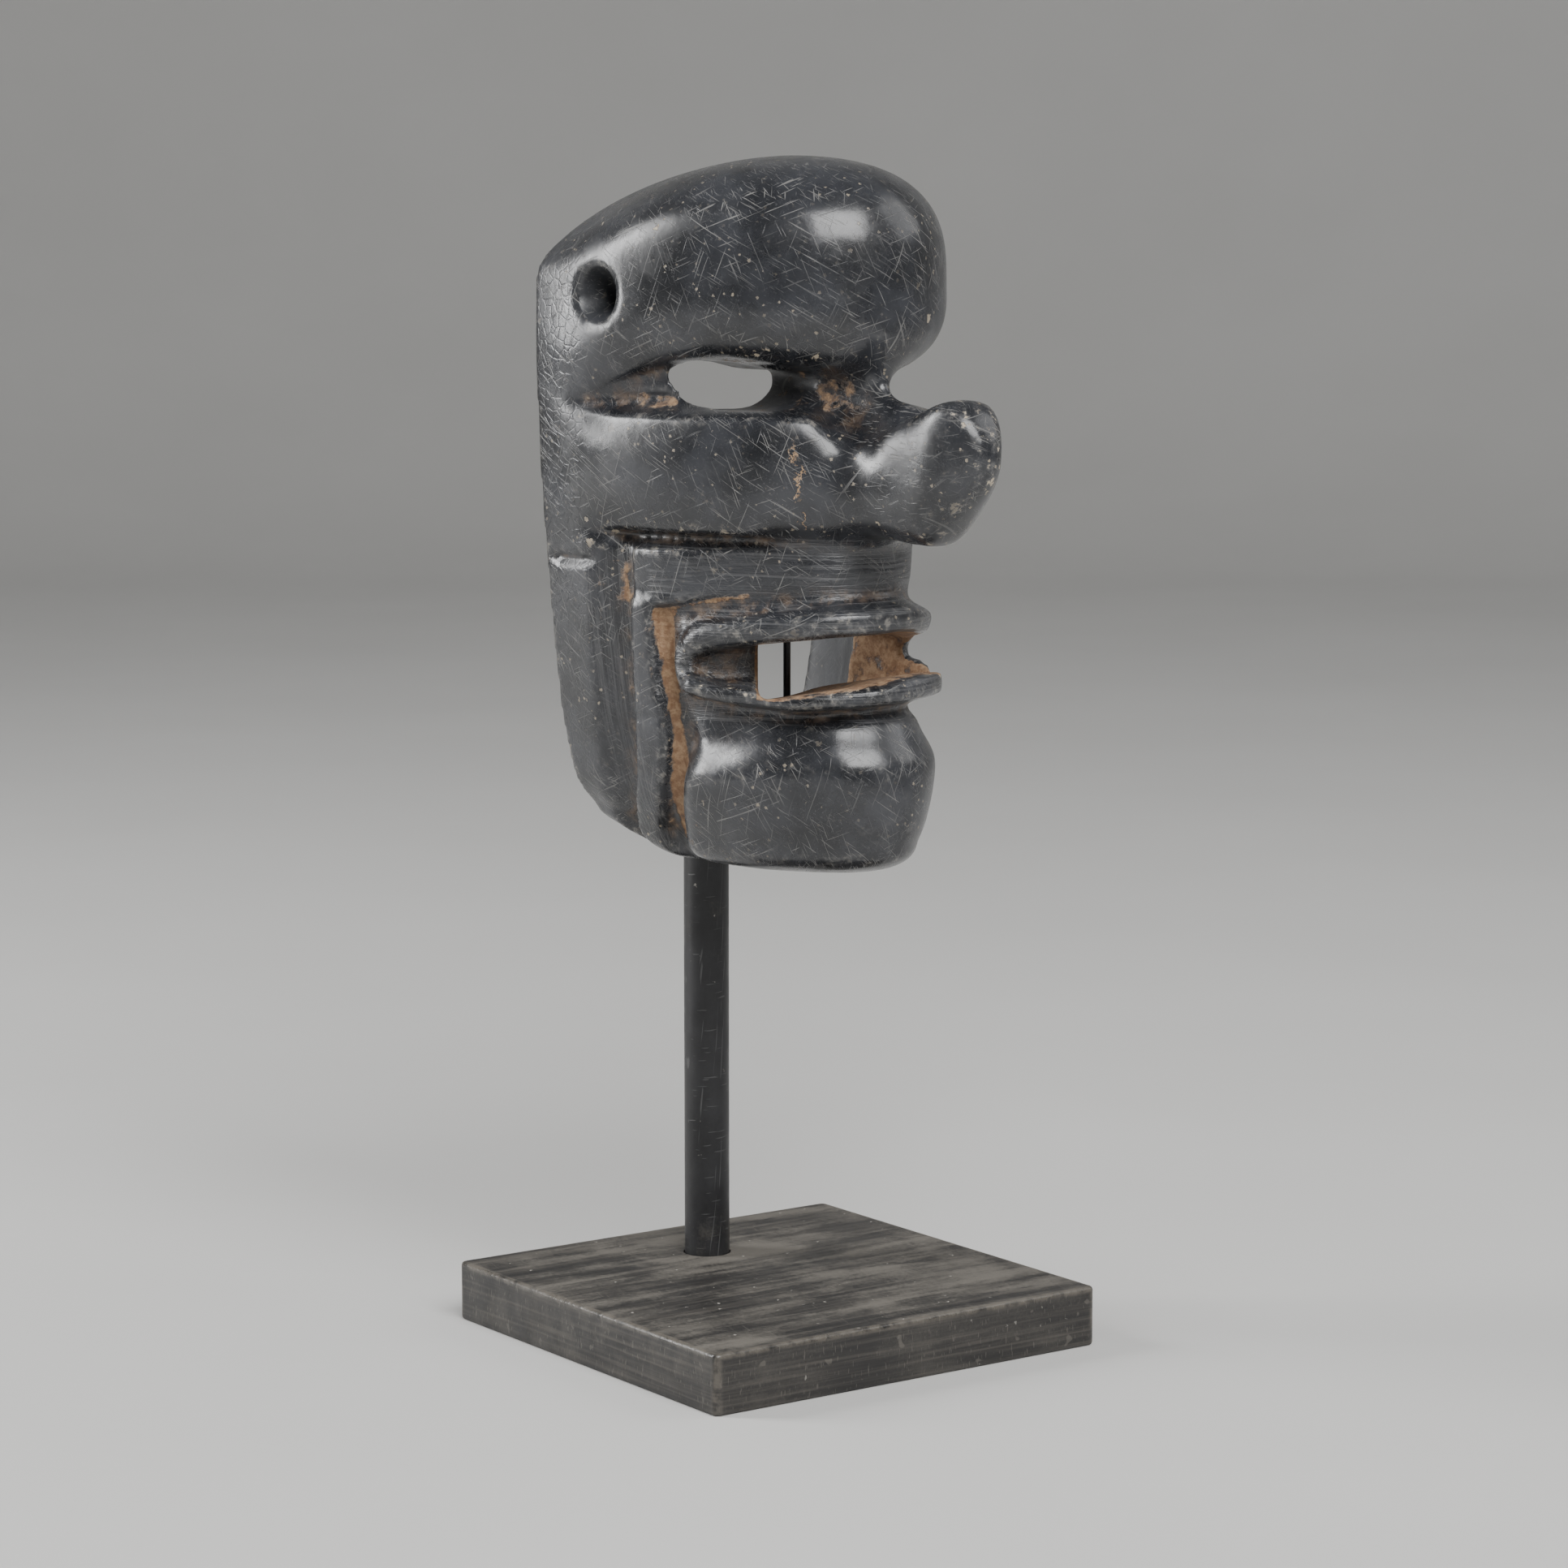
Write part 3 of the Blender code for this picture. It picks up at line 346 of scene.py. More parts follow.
# %% Shape the nose
NOSE_ROOT = -0.40
NOSE_TIP = -0.700
NOSE_ROUND = 0.085
NOSE_TIP_ROWS = 0.36
NOSE_ROOT_ROWS = 0.96
NOSE_RIDGE_SPREAD = 0.055
NOSE_WIDTH = ((-0.70, 0.050), (-0.64, 0.054), (-0.58, 0.059), (-0.53, 0.066), (-0.49, 0.079),
              (-0.465, 0.092), (-0.44, 0.103), (-0.40, 0.112))
NOSE_EDGE = ((-0.70, 0.684), (-0.66, 0.679), (-0.61, 0.662), (-0.55, 0.637), (-0.50, 0.616), (-0.46, 0.600),
             (-0.40, 0.590))
NOSE_RIDGE = ((-0.70, 0.004), (-0.64, 0.004), (-0.585, 0.004), (-0.555, 0.012), (-0.52, 0.040),
              (-0.475, 0.082), (-0.40, 0.108))
NOSE_FOOT = ((-0.70, 0.492), (-0.66, 0.477), (-0.60, 0.471), (-0.46, 0.474), (-0.40, 0.480))


def nose_form():
    """The upturned nose and its bridge, a loft along Y whose sections follow named profiles."""
    mesh = bmesh.new()
    bmesh.ops.create_uvsphere(mesh, u_segments=96, v_segments=110, radius=1.0)
    bmesh.ops.rotate(mesh, verts=mesh.verts, cent=(0, 0, 0), matrix=Matrix.Rotation(math.radians(90), 3, "X"))
    points = np.array([vert.co for vert in mesh.verts])
    ring = np.hypot(points[:, 0], points[:, 2])
    reach = np.arctan2(ring, -points[:, 1]) / math.pi
    near_tip = reach < NOSE_TIP_ROWS
    bend = np.clip(reach / NOSE_TIP_ROWS, 0.0, 1.0) * math.pi / 2.0
    body = np.clip((reach - NOSE_TIP_ROWS) / (NOSE_ROOT_ROWS - NOSE_TIP_ROWS), 0.0, 1.0)
    tip_end = NOSE_TIP + NOSE_ROUND
    y = np.where(near_tip, tip_end - NOSE_ROUND * np.cos(bend), tip_end + (NOSE_ROOT - tip_end) * body)
    grow = np.where(near_tip, np.sin(bend), 1.0)
    grow = np.where(reach > NOSE_ROOT_ROWS, (1.0 - reach) / (1.0 - NOSE_ROOT_ROWS), grow)
    half_width, edge, foot = along(NOSE_WIDTH, y), along(NOSE_EDGE, y), along(NOSE_FOOT, y)
    cos_ring = points[:, 2] / np.maximum(ring, 1e-6)
    sin_ring = points[:, 0] / np.maximum(ring, 1e-6)
    crisp = 2.6 + 1.8 * smooth(y, -0.48, -0.54) * (cos_ring > 0.0)
    x = np.sign(sin_ring) * np.abs(sin_ring) ** (2.0 / crisp) * half_width * grow
    half_height = (edge - foot) / 2.0 * grow
    z = (edge + foot) / 2.0 + np.sign(cos_ring) * np.abs(cos_ring) ** (2.0 / crisp) * half_height
    share = np.clip(1.0 - np.abs(x) / NOSE_RIDGE_SPREAD, 0.0, 1.0)
    z = z + along(NOSE_RIDGE, y) * share ** 1.3 * np.clip(cos_ring, 0.0, 1.0) * grow
    y = y + 0.045 * smooth(z, 0.60, 0.47) * smooth(y, -0.54, -0.68)
    put(mesh, x, y, z)
    return piece_from(mesh, "nose_joiner")


nose = nose_form()

# %% [markdown]
# ## The hollow, the slits and the holes
# The back of the mask is dug out so that it can be worn or hung. The eye slits
# and the mouth were cut right through to that hollow, and a hole was drilled
# through each side from outside, wide at the surface and narrow inside.

# %% Shape the cutters
RIM_WALL = 0.0048
CROWN_WALL = 0.0105
SILL_WALL = 0.009
HOLLOW_DEPTH = 0.041
HOLLOW_SQUARENESS = 0.15
EAR_HOLE_MOUTH = 0.0124
EAR_HOLE_BORE = 0.0064
EAR_HOLE_CONE = 0.007
EAR_HOLE_DEG = 73.7
EAR_HOLE_LEVEL = 0.808
SLOT_OUTER_END = -0.66
SLOT_LEVEL_AT = -0.48
MOUTH_FLOOR_SLOPE = 0.17
EYE_TOP = ((0.05, 0.703), (0.095, 0.704), (0.11, 0.707), (0.13, 0.714), (0.165, 0.718), (0.180, 0.713),
           (0.187, 0.703))
EYE_FOOT = ((0.05, 0.680), (0.062, 0.666), (0.078, 0.654), (0.10, 0.649), (0.16, 0.649), (0.172, 0.660),
            (0.181, 0.676), (0.187, 0.688))
EYE_ENDS = ((0.050, -0.330), (0.054, -0.14), (0.140, -0.15), (0.187, -0.17))
MOUTH_ENDS = ((-0.200, -0.450), (-0.152, -0.380), (-0.066, -0.253), (-0.040, -0.150), (0.120, -0.150),
              (0.150, -0.186), (0.185, -0.300))


def hollow_ends():
    """Lowest and highest height share of the hollow."""
    return JAW_LIFT + SILL_WALL / MASK_HEIGHT, 1.0 - CROWN_BACK_DROP - CROWN_WALL / MASK_HEIGHT


def hollow_form():
    """The hollow dug into the back, as a cutter that runs past the back face."""
    mesh, around, up = unit_sphere(120, 90)
    low, high = hollow_ends()
    polar = (up - 0.5) * math.pi
    scale = np.clip(np.cos(polar), 0.0, 1.0) ** HOLLOW_SQUARENESS
    height = (low + high) / 2.0 + (high - low) / 2.0 * np.sin(polar)
    half_width = along(HALF_WIDTH, height) - RIM_WALL / MASK_HEIGHT
    angle = np.clip(np.abs(around) / (1.0 - BACK_SHARE), 0.0, 1.0) * math.pi / 2.0
    front = np.abs(around) <= 1.0 - BACK_SHARE
    x = np.sign(around) * half_width * np.sin(angle)
    x = np.where(front, x, x * (1.0 - np.abs(around)) / BACK_SHARE) * scale
    y = np.where(front, -HOLLOW_DEPTH / MASK_HEIGHT * np.cos(angle) * scale, 0.04)
    z = height - crown_arch(x, 1.0) * smooth(height, 0.60, high)
    put(mesh, x, y, z)
    return piece_from(mesh, "hollow_cutter")


def slot_form(name, ends, sections, foot_of, top_of, slope):
    """A cutter made of sections across X, from an inner end out past the face, its floor sinking inwards."""
    mesh = bmesh.new()
    edges = []
    for x in np.linspace(ends[0][0], ends[-1][0], sections):
        inner = np.interp(x, *zip(*ends))
        foot, top = foot_of(x), top_of(x)
        sunk = foot - slope * (inner - SLOT_LEVEL_AT)
        corners = ((inner, sunk), (SLOT_LEVEL_AT, foot), (SLOT_OUTER_END, foot), (SLOT_OUTER_END, top),
                   (inner, top))
        ring = [mesh.verts.new((x, y, z)) for y, z in corners]
        edges += [mesh.edges.new(pair) for pair in zip(ring, ring[1:] + ring[:1])]
    bmesh.ops.bridge_loops(mesh, edges=edges)
    bmesh.ops.holes_fill(mesh, edges=mesh.edges, sides=0)
    bmesh.ops.scale(mesh, vec=(MASK_HEIGHT,) * 3, verts=mesh.verts)
    bmesh.ops.translate(mesh, vec=(0.0, MASK_BACK_Y, MASK_UNDERSIDE), verts=mesh.verts)
    for _ in range(5):
        long_edges = [edge for edge in mesh.edges if edge.calc_length() > 0.0015]
        bmesh.ops.subdivide_edges(mesh, edges=long_edges, cuts=1, use_grid_fill=True)
    bmesh.ops.triangulate(mesh, faces=mesh.faces)
    return piece_from(mesh, name)


def eye_form(side):
    """One eye opening, from the bridge's flank to the outer corner, cut straight back into the hollow."""
    ends = [(side * x, y) for x, y in EYE_ENDS][::side]
    return slot_form(f"eye_cutter_{side}", ends, 26, lambda x: along(EYE_FOOT, abs(x)),
                     lambda x: along(EYE_TOP, abs(x)), 0.0)


def mouth_form():
    """The mouth opening: a long slant on one side, a short steep wall on the other."""
    half_width = np.interp(MOUTH_FOOT[0][1], *zip(*HALF_WIDTH))

    def turn(x):
        return math.degrees(math.asin(x / half_width))

    return slot_form("mouth_cutter", MOUTH_ENDS, 44, lambda x: along(MOUTH_FOOT, turn(x)),
                     lambda x: along(MOUTH_TOP, turn(x)), MOUTH_FLOOR_SLOPE)


def ear_hole_form(side):
    """A suspension hole: a straight bore out of the hollow that opens in a rounded flare at the surface."""
    mouth, bore = EAR_HOLE_MOUTH / 2.0, EAR_HOLE_BORE / 2.0
    rise = (mouth - bore) * 0.55
    inner_end, outer_end = -EAR_HOLE_CONE * 2.3, EAR_HOLE_CONE * 0.4
    profile = ((0.0, inner_end), (bore, inner_end), (bore, -EAR_HOLE_CONE),
               (mouth * 0.93, -EAR_HOLE_CONE * 0.12), (mouth + rise, outer_end), (0.0, outer_end))
    mesh = bmesh.new()
    points = [mesh.verts.new((radius, 0.0, z)) for radius, z in profile]
    edges = [mesh.edges.new(pair) for pair in zip(points, points[1:])]
    bmesh.ops.spin(mesh, geom=points + edges, cent=(0, 0, 0), axis=(0, 0, 1), angle=math.tau,
                   steps=64, use_merge=True)
    half_width, depth = along(HALF_WIDTH, EAR_HOLE_LEVEL), along(FRONT_DEPTH, EAR_HOLE_LEVEL)
    across, forward = side * math.sin(math.radians(EAR_HOLE_DEG)), math.cos(math.radians(EAR_HOLE_DEG))
    outward = Vector((across / half_width, -forward / depth, 0.0)).normalized()
    surface = Vector((half_width * across, -depth * forward, EAR_HOLE_LEVEL)) * MASK_HEIGHT
    surface += Vector((0.0, MASK_BACK_Y, MASK_UNDERSIDE))
    mesh.transform(Matrix.Translation(surface) @ outward.to_track_quat("Z", "Y").to_matrix().to_4x4())
    return piece_from(mesh, f"ear_hole_cutter_{side}")


tools = [hollow_form(), mouth_form()]
for side in (-1, 1):
    tools += [eye_form(side), ear_hole_form(side)]

# %% [markdown]
# ## Join, cut and wear down
# Boolean modifiers join the nose and cut the openings. They leave knife-sharp
# seams, and real stone has none: hands, cloth and sand have rounded every edge.
# So the joined mesh is rebuilt as an even net of small quads, and each point
# near a seam is pulled towards its neighbours, more where the carver blended
# the nose into the cheeks.

# %% Apply the Booleans
SKIN_GRID = 0.0008


def settle(piece):
    """Apply all modifiers of a piece."""
    graph = bpy.context.evaluated_depsgraph_get()
    data = bpy.data.meshes.new_from_object(piece.evaluated_get(graph))
    piece.modifiers.clear()
    piece.data = data


def volume_of(piece):
    """The volume a closed piece encloses."""
    mesh = bmesh.new()
    mesh.from_mesh(piece.data)
    volume = mesh.calc_volume()
    mesh.free()
    return volume


def carve(piece, tool, operation):
    """Join or cut with one tool by the exact solver, and delete the tool."""
    before = volume_of(piece)
    change = piece.modifiers.new(operation.lower(), "BOOLEAN")
    change.operation = operation
    change.solver = "EXACT"
    change.object = tool
    settle(piece)
    changed = (volume_of(piece) - before) * 1e6
    print(tool.name, "changed the volume by", round(changed, 1), "cubic centimetres")
    bpy.data.objects.remove(tool)


def tree_of(piece):
    """A search tree over a piece's surface."""
    return BVHTree.FromObject(piece, bpy.context.evaluated_depsgraph_get())


surfaces = {"shell": tree_of(stone_mask), "nose": tree_of(nose)}
surfaces.update({tool.name: tree_of(tool) for tool in tools})
carve(stone_mask, nose, "UNION")
for tool in tools:
    carve(stone_mask, tool, "DIFFERENCE")
print("mask after cutting:", len(stone_mask.data.polygons), "faces")

# %% Rebuild as an even net
change = stone_mask.modifiers.new("skin", "REMESH")
change.mode = "VOXEL"
change.voxel_size = SKIN_GRID
change.use_smooth_shade = True
settle(stone_mask)
net = stone_mask.data
points = np.empty(len(net.vertices) * 3)
net.vertices.foreach_get("co", points)
points = points.reshape(-1, 3)
edges = np.empty(len(net.edges) * 2, dtype=np.int32)
net.edges.foreach_get("vertices", edges)
edges = edges.reshape(-1, 2)
print("even net:", len(net.polygons), "quads,", len(points), "points")

# %% Soften the seams
NOSE_BLEND = 0.011
EDGE_ROUNDING = 0.0016
PULL = 0.6
NOSE_ROUNDS = 160
EDGE_ROUNDS = 8
FINE_ROUNDS = 8
BROAD_ROUNDS = 60


def distances(tree, reach):
    """Distance from each point of the net to a surface, up to a reach."""
    found = (tree.find_nearest(point, reach)[3] for point in points)
    return np.array([reach if value is None else value for value in found])


def soften(places, weight, rounds):
    """Pull each point towards the middle of its neighbours, by its own weight."""
    first, second = edges.T
    count = np.bincount(edges.ravel(), minlength=len(places))
    for _ in range(rounds):
        total = [np.bincount(first, places[second, axis], len(places))
                 + np.bincount(second, places[first, axis], len(places)) for axis in range(3)]
        middle = np.stack(total, axis=1) / count[:, None]
        places = places + (middle - places) * weight[:, None]
    return places


away = {name: distances(tree, NOSE_BLEND) for name, tree in surfaces.items()}
from_seam = np.sort(np.stack(list(away.values())), axis=0)[1]
from_nose_seam = away["shell"] + away["nose"]
points = soften(points, PULL * smooth(from_nose_seam, NOSE_BLEND, 0.0), NOSE_ROUNDS)
points = soften(points, PULL * smooth(from_seam, EDGE_ROUNDING, 0.0), EDGE_ROUNDS)
points = soften(points, np.full(len(points), 0.5), 2)
print("points near a seam:", int((from_seam < EDGE_ROUNDING).sum()))
low_corner, high_corner = (np.array(corner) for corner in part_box("mask"))
points = np.clip(points, low_corner, high_corner)
net.vertices.foreach_set("co", points.ravel())
net.update()

# %% [markdown]
# ## Places and wear, measured on the mesh
# The finish depends on where a point is: earth lies in the grooves, chips sit
# on edges, tool marks run along the cuts. Each of these is measured once and
# kept as a value on the points, which the material then breaks up with noise.

# %% Measure the places
height = (points[:, 2] - MASK_UNDERSIDE) / MASK_HEIGHT
across, depth = points[:, 0] / MASK_HEIGHT, (points[:, 1] - MASK_BACK_Y) / MASK_HEIGHT
width_share, depth_share = across / along(HALF_WIDTH, height), -depth / along(FRONT_DEPTH, height)
degrees = np.degrees(np.arctan2(width_share, depth_share))
turn = np.abs(degrees)
radius_share = np.hypot(width_share, depth_share)
around_face = np.sign(degrees) * arc_share(turn) * MASK_HEIGHT
place = np.stack([around_face, radius_share * TYPICAL_HALF_WIDTH * MASK_HEIGHT, points[:, 2]], axis=1)

normals = np.empty(len(points) * 3)
net.vertex_normals.foreach_get("vector", normals)
normals = normals.reshape(-1, 3)
everywhere = np.full(len(points), PULL)
fine_hollow = ((soften(points, everywhere, FINE_ROUNDS) - points) * normals).sum(axis=1)
broad_hollow = ((soften(points, everywhere, BROAD_ROUNDS) - points) * normals).sum(axis=1)
print("curvature, fine and broad, in mm:", np.round(np.percentile(fine_hollow, (2, 50, 98)) * 1000, 3),
      np.round(np.percentile(broad_hollow, (2, 50, 98)) * 1000, 3))


# %% Where earth, chips and tool marks lie
def between(value, low, high, ease):
    """1 between two values, easing to 0 outside them."""
    return smooth(value, low - ease, low + ease) * smooth(value, high + ease, high - ease)


outside = smooth(np.minimum(away["shell"], away["nose"]), 0.0016, 0.0006)
ring = lips(degrees, height, np.zeros_like(height))[1]
in_corner = smooth(broad_hollow, 0.00005, 0.0005)
earth_places = (
    between(turn, 58.5, 65.5, 1.2) * between(height, 0.03, 0.375, 0.01),
    0.85 * between(turn, 69.5, 77.0, 1.0) * between(height, 0.375, 0.462, 0.008),
    0.75 * between(turn, 48.0, 66.0, 10.0) * between(height, 0.640, 0.680, 0.020),
    0.8 * between(ring, 0.84, 1.10, 0.06) * between(height, 0.31, 0.40, 0.01) * (turn < 64.0),
    0.35 * between(ring, 0.84, 1.10, 0.06) * between(height, 0.19, 0.27, 0.01) * (turn < 64.0),
    0.35 * between(turn, 60.0, 79.0, 1.0) * between(height, 0.02, 0.47, 0.01),
)
earth = np.max(earth_places, axis=0) * (0.25 + 0.75 * in_corner) * outside
bridge_foot = between(np.abs(across), 0.0, 0.10, 0.06) * between(height, 0.645, 0.700, 0.022)
bridge_foot = bridge_foot * smooth(depth, -0.54, -0.45)
earth = np.maximum(earth, 0.65 * bridge_foot * outside * (0.3 + 0.7 * in_corner))
mouth_wall = smooth(away["mouth_cutter"], 0.0009, 0.0004) * (depth < -0.10)
eye_wall = smooth(np.minimum(away["eye_cutter_-1"], away["eye_cutter_1"]), 0.0009, 0.0004) * (depth < -0.10)
earth = np.maximum(earth, 0.8 * mouth_wall)
earth = np.maximum(earth, 0.3 * eye_wall)

knock_places = (
    smooth(depth, -0.60, -0.68),
    0.8 * between(height, 0.69, 0.75, 0.01) * (turn < 60.0),
    between(ring, 0.0, 0.35, 0.1) * between(height, 0.23, 0.29, 0.01),
    0.6 * between(height, 0.455, 0.50, 0.01),
    np.full(len(points), 0.1),
)
edge = smooth(-fine_hollow, 0.00003, 0.00016)
chipped = np.max(knock_places, axis=0) * outside
down_marks = between(turn, 68.5, 78.5, 0.8) * smooth(height, 0.46, 0.44) * outside
cross_marks = smooth(turn, 65.0, 63.0) * between(height, 0.215, 0.475, 0.006) * outside
rim = smooth(turn, 75.0, 80.0) * outside
worn = {"place": place, "earth": earth, "edge": edge, "chipped": chipped, "down_marks": down_marks,
        "cross_marks": cross_marks, "rim": rim, "hollow": smooth(broad_hollow, 0.0, 0.0008) * outside,
        "inside": 1.0 - outside}
for name, values in worn.items():
    kind = "FLOAT_VECTOR" if values.ndim == 2 else "FLOAT"
    layer = net.attributes.new(name, kind, "POINT")
    layer.data.foreach_set("vector" if values.ndim == 2 else "value", values.astype(np.float32).ravel())
    print(name, "from", round(float(values.min()), 4), "to", round(float(values.max()), 4))

# %% [markdown]
# ## Thin the hollow
# The hollow is plain, so it needs fewer points than the carved front. Thinning
# by hand would be slow and uneven, so a collapse takes the hollow's points
# first, and the values measured on the points stay with the ones that are kept.

# %% Thin the hollow
TRIANGLES_KEPT = 188000
HOLLOW_FIRST = 10.0
plain = stone_mask.vertex_groups.new(name="plain")
plain.add([int(index) for index in np.flatnonzero(outside < 0.5)], 1.0, "REPLACE")
change = stone_mask.modifiers.new("thin", "DECIMATE")
change.decimate_type = "COLLAPSE"
change.ratio = min(1.0, TRIANGLES_KEPT / sum(len(face.vertices) - 2 for face in net.polygons))
change.use_collapse_triangulate = True
change.vertex_group = plain.name
change.vertex_group_factor = HOLLOW_FIRST
settle(stone_mask)
stone_mask.vertex_groups.clear()
net = stone_mask.data
print("thinned to", len(net.polygons), "triangles")

# %% [markdown]
# ## Helpers for materials
# A material is a small graph of nodes. These helpers add a node, fill its
# sockets and link it in one line, so that each finish reads as a short recipe.

# %% Node helpers
def node(tree, kind, inputs=(), **settings):
    """Add a shader node; each input is a value to set or a socket to link."""
    made = tree.nodes.new("ShaderNode" + kind)
    for name, value in settings.items():
        setattr(made, name, value)
    for name, value in dict(inputs).items():
        if isinstance(value, bpy.types.NodeSocket):
            tree.links.new(value, made.inputs[name])
        else:
            made.inputs[name].default_value = value
    return made


def math_of(tree, operation, first, second=0.0):
    """The result of one Math node."""
    return node(tree, "Math", {0: first, 1: second}, operation=operation).outputs[0]


def times(tree, first, second):
    """Multiply two values."""
    return math_of(tree, "MULTIPLY", first, second)


def plus(tree, first, second):
    """Add two values."""
    return math_of(tree, "ADD", first, second)


def minus(tree, first, second):
    """Take the second value from the first."""
    return math_of(tree, "SUBTRACT", first, second)


def larger(tree, first, second):
    """The larger of two values."""
    return math_of(tree, "MAXIMUM", first, second)


def ramp(tree, value, low, high, to_low=0.0, to_high=1.0):
    """Ease a value between two levels."""
    made = node(tree, "MapRange", {"Value": value, "From Min": low, "From Max": high, "To Min": to_low,
                                   "To Max": to_high}, interpolation_type="SMOOTHSTEP")
    return made.outputs["Result"]


def noise_of(tree, where, scale, detail=3.0, roughness=0.5, distortion=0.0):
    """The grey value of a noise texture."""
    made = node(tree, "TexNoise", {"Vector": where, "Scale": scale, "Detail": detail, "Roughness": roughness,
                                   "Distortion": distortion})
    return made.outputs["Fac"]


def blend(tree, share, first, second):
    """Mix two colours by a share."""
    made = node(tree, "Mix", {0: share, 6: first, 7: second}, data_type="RGBA")
    return made.outputs[2]


def stretched(tree, where, scales):
    """Scale a place differently along each axis."""
    return node(tree, "VectorMath", {0: where, 1: scales}, operation="MULTIPLY").outputs[0]


def new_group(name, inputs, outputs):
    """Start a node group with named sockets; returns the group, its inputs and its end node."""
    group = bpy.data.node_groups.new(name, "ShaderNodeTree")
    for label, kind, value in inputs:
        socket = group.interface.new_socket(label, in_out="INPUT", socket_type="NodeSocket" + kind)
        if value is not None:
            socket.default_value = value
    for label, kind in outputs:
        group.interface.new_socket(label, in_out="OUTPUT", socket_type="NodeSocket" + kind)
    start, end = group.nodes.new("NodeGroupInput"), group.nodes.new("NodeGroupOutput")
    return group, start.outputs, end.inputs


def use_group(tree, group, **inputs):
    """Place a node group in a material and fill its named inputs."""
    made = tree.nodes.new("ShaderNodeGroup")
    made.node_tree = group
    for name, value in inputs.items():
        name = name.replace("_", " ")
        if isinstance(value, bpy.types.NodeSocket):
            tree.links.new(value, made.inputs[name])
        else:
            made.inputs[name].default_value = value
    return made.outputs


def new_material(name):
    """A material with its shader node, ready for links."""
    material = bpy.data.materials.new(name)
    material.use_nodes = True
    return material, material.node_tree, material.node_tree.nodes["Principled BSDF"].inputs


def add_relief(tree, shader, raised):
    """Bump the surface by a height in metres."""
    bump = node(tree, "Bump", {"Height": raised, "Distance": 1.0})
    tree.links.new(bump.outputs["Normal"], shader["Normal"])


# %% [markdown]
# ## Fine scratches, as a shared effect
# Every piece has been handled, wiped and set down, which leaves hair-thin marks.
# A noise stretched a hundred times along one direction makes streaks; a high
# threshold keeps only the strongest, which read as single scratches. The group
# turns them by an angle, so a material can cross several sets.

# %% Scratch group
scratch_inputs = (("Vector", "Vector", None), ("Angle", "Float", 0.0), ("Length", "Float", 0.010),
                  ("Width", "Float", 0.0003), ("Amount", "Float", 0.3))
scratches, given, result = new_group("fine scratches", scratch_inputs, (("Mask", "Float"),))
wander = node(scratches, "TexNoise", {"Vector": given["Vector"], "Scale": 45.0, "Detail": 1.0}).outputs["Color"]
sway = node(scratches, "VectorMath", {0: wander, "Scale": 0.0016}, operation="SCALE").outputs[0]
bent = node(scratches, "VectorMath", {0: given["Vector"], 1: sway}, operation="ADD").outputs[0]
turned = node(scratches, "VectorRotate", {"Vector": bent, "Angle": given["Angle"]},
              rotation_type="Y_AXIS").outputs[0]
lengthwise = math_of(scratches, "DIVIDE", 1.0, given["Length"])
crosswise = math_of(scratches, "DIVIDE", 1.0, given["Width"])
inwards = times(scratches, crosswise, 0.12)
sizes = node(scratches, "CombineXYZ", {0: lengthwise, 1: inwards, 2: crosswise}).outputs[0]
streak = noise_of(scratches, stretched(scratches, turned, sizes), 1.0, 1.0, 0.4)
threshold = minus(scratches, 0.80, times(scratches, given["Amount"], 0.22))
upper = plus(scratches, threshold, 0.045)
scratches.links.new(ramp(scratches, streak, threshold, upper), result["Mask"])


def crossed_scratches(tree, where, sets):
    """Several sets of scratches, each at its own angle, as one mask."""
    marks = None
    for angle, length, width, amount in sets:
        one = use_group(tree, scratches, Vector=where, Angle=angle, Length=length, Width=width,
                        Amount=amount)["Mask"]
        marks = one if marks is None else larger(tree, marks, one)
    return marks


# %% [markdown]
# ## Flecks, as a shared effect
# The stone holds pale grains and has small chips; the painted wood carries dust
# specks. A Voronoi texture gives one point in each cell. Each cell's own random
# colour decides whether it shows a fleck, and how large.

# %% Fleck group
fleck_inputs = (("Vector", "Vector", None), ("Cell", "Float", 0.003), ("Amount", "Float", 0.2),
                ("Radius", "Float", 0.3))
flecks, given, result = new_group("flecks", fleck_inputs, (("Mask", "Float"), ("Tint", "Float")))
per_metre = math_of(flecks, "DIVIDE", 1.0, given["Cell"])
in_cells = node(flecks, "VectorMath", {0: given["Vector"], "Scale": per_metre}, operation="SCALE").outputs[0]
wander = node(flecks, "TexNoise", {"Vector": in_cells, "Scale": 3.5, "Detail": 3.0}).outputs["Color"]
wander = node(flecks, "VectorMath", {0: wander, "Scale": 0.75}, operation="SCALE").outputs[0]
ragged = node(flecks, "VectorMath", {0: in_cells, 1: wander}, operation="ADD").outputs[0]
cells = node(flecks, "TexVoronoi", {"Vector": ragged, "Scale": 1.0})
luck = node(flecks, "SeparateColor", {0: cells.outputs["Color"]}).outputs
chosen = ramp(flecks, luck[0], minus(flecks, 1.0, given["Amount"]), 1.0)
radius = times(flecks, math_of(flecks, "POWER", chosen, 1.6), given["Radius"])
inside_fleck = minus(flecks, radius, cells.outputs["Distance"])
flecks.links.new(ramp(flecks, inside_fleck, 0.0, 0.06), result["Mask"])
flecks.links.new(luck[1], result["Tint"])
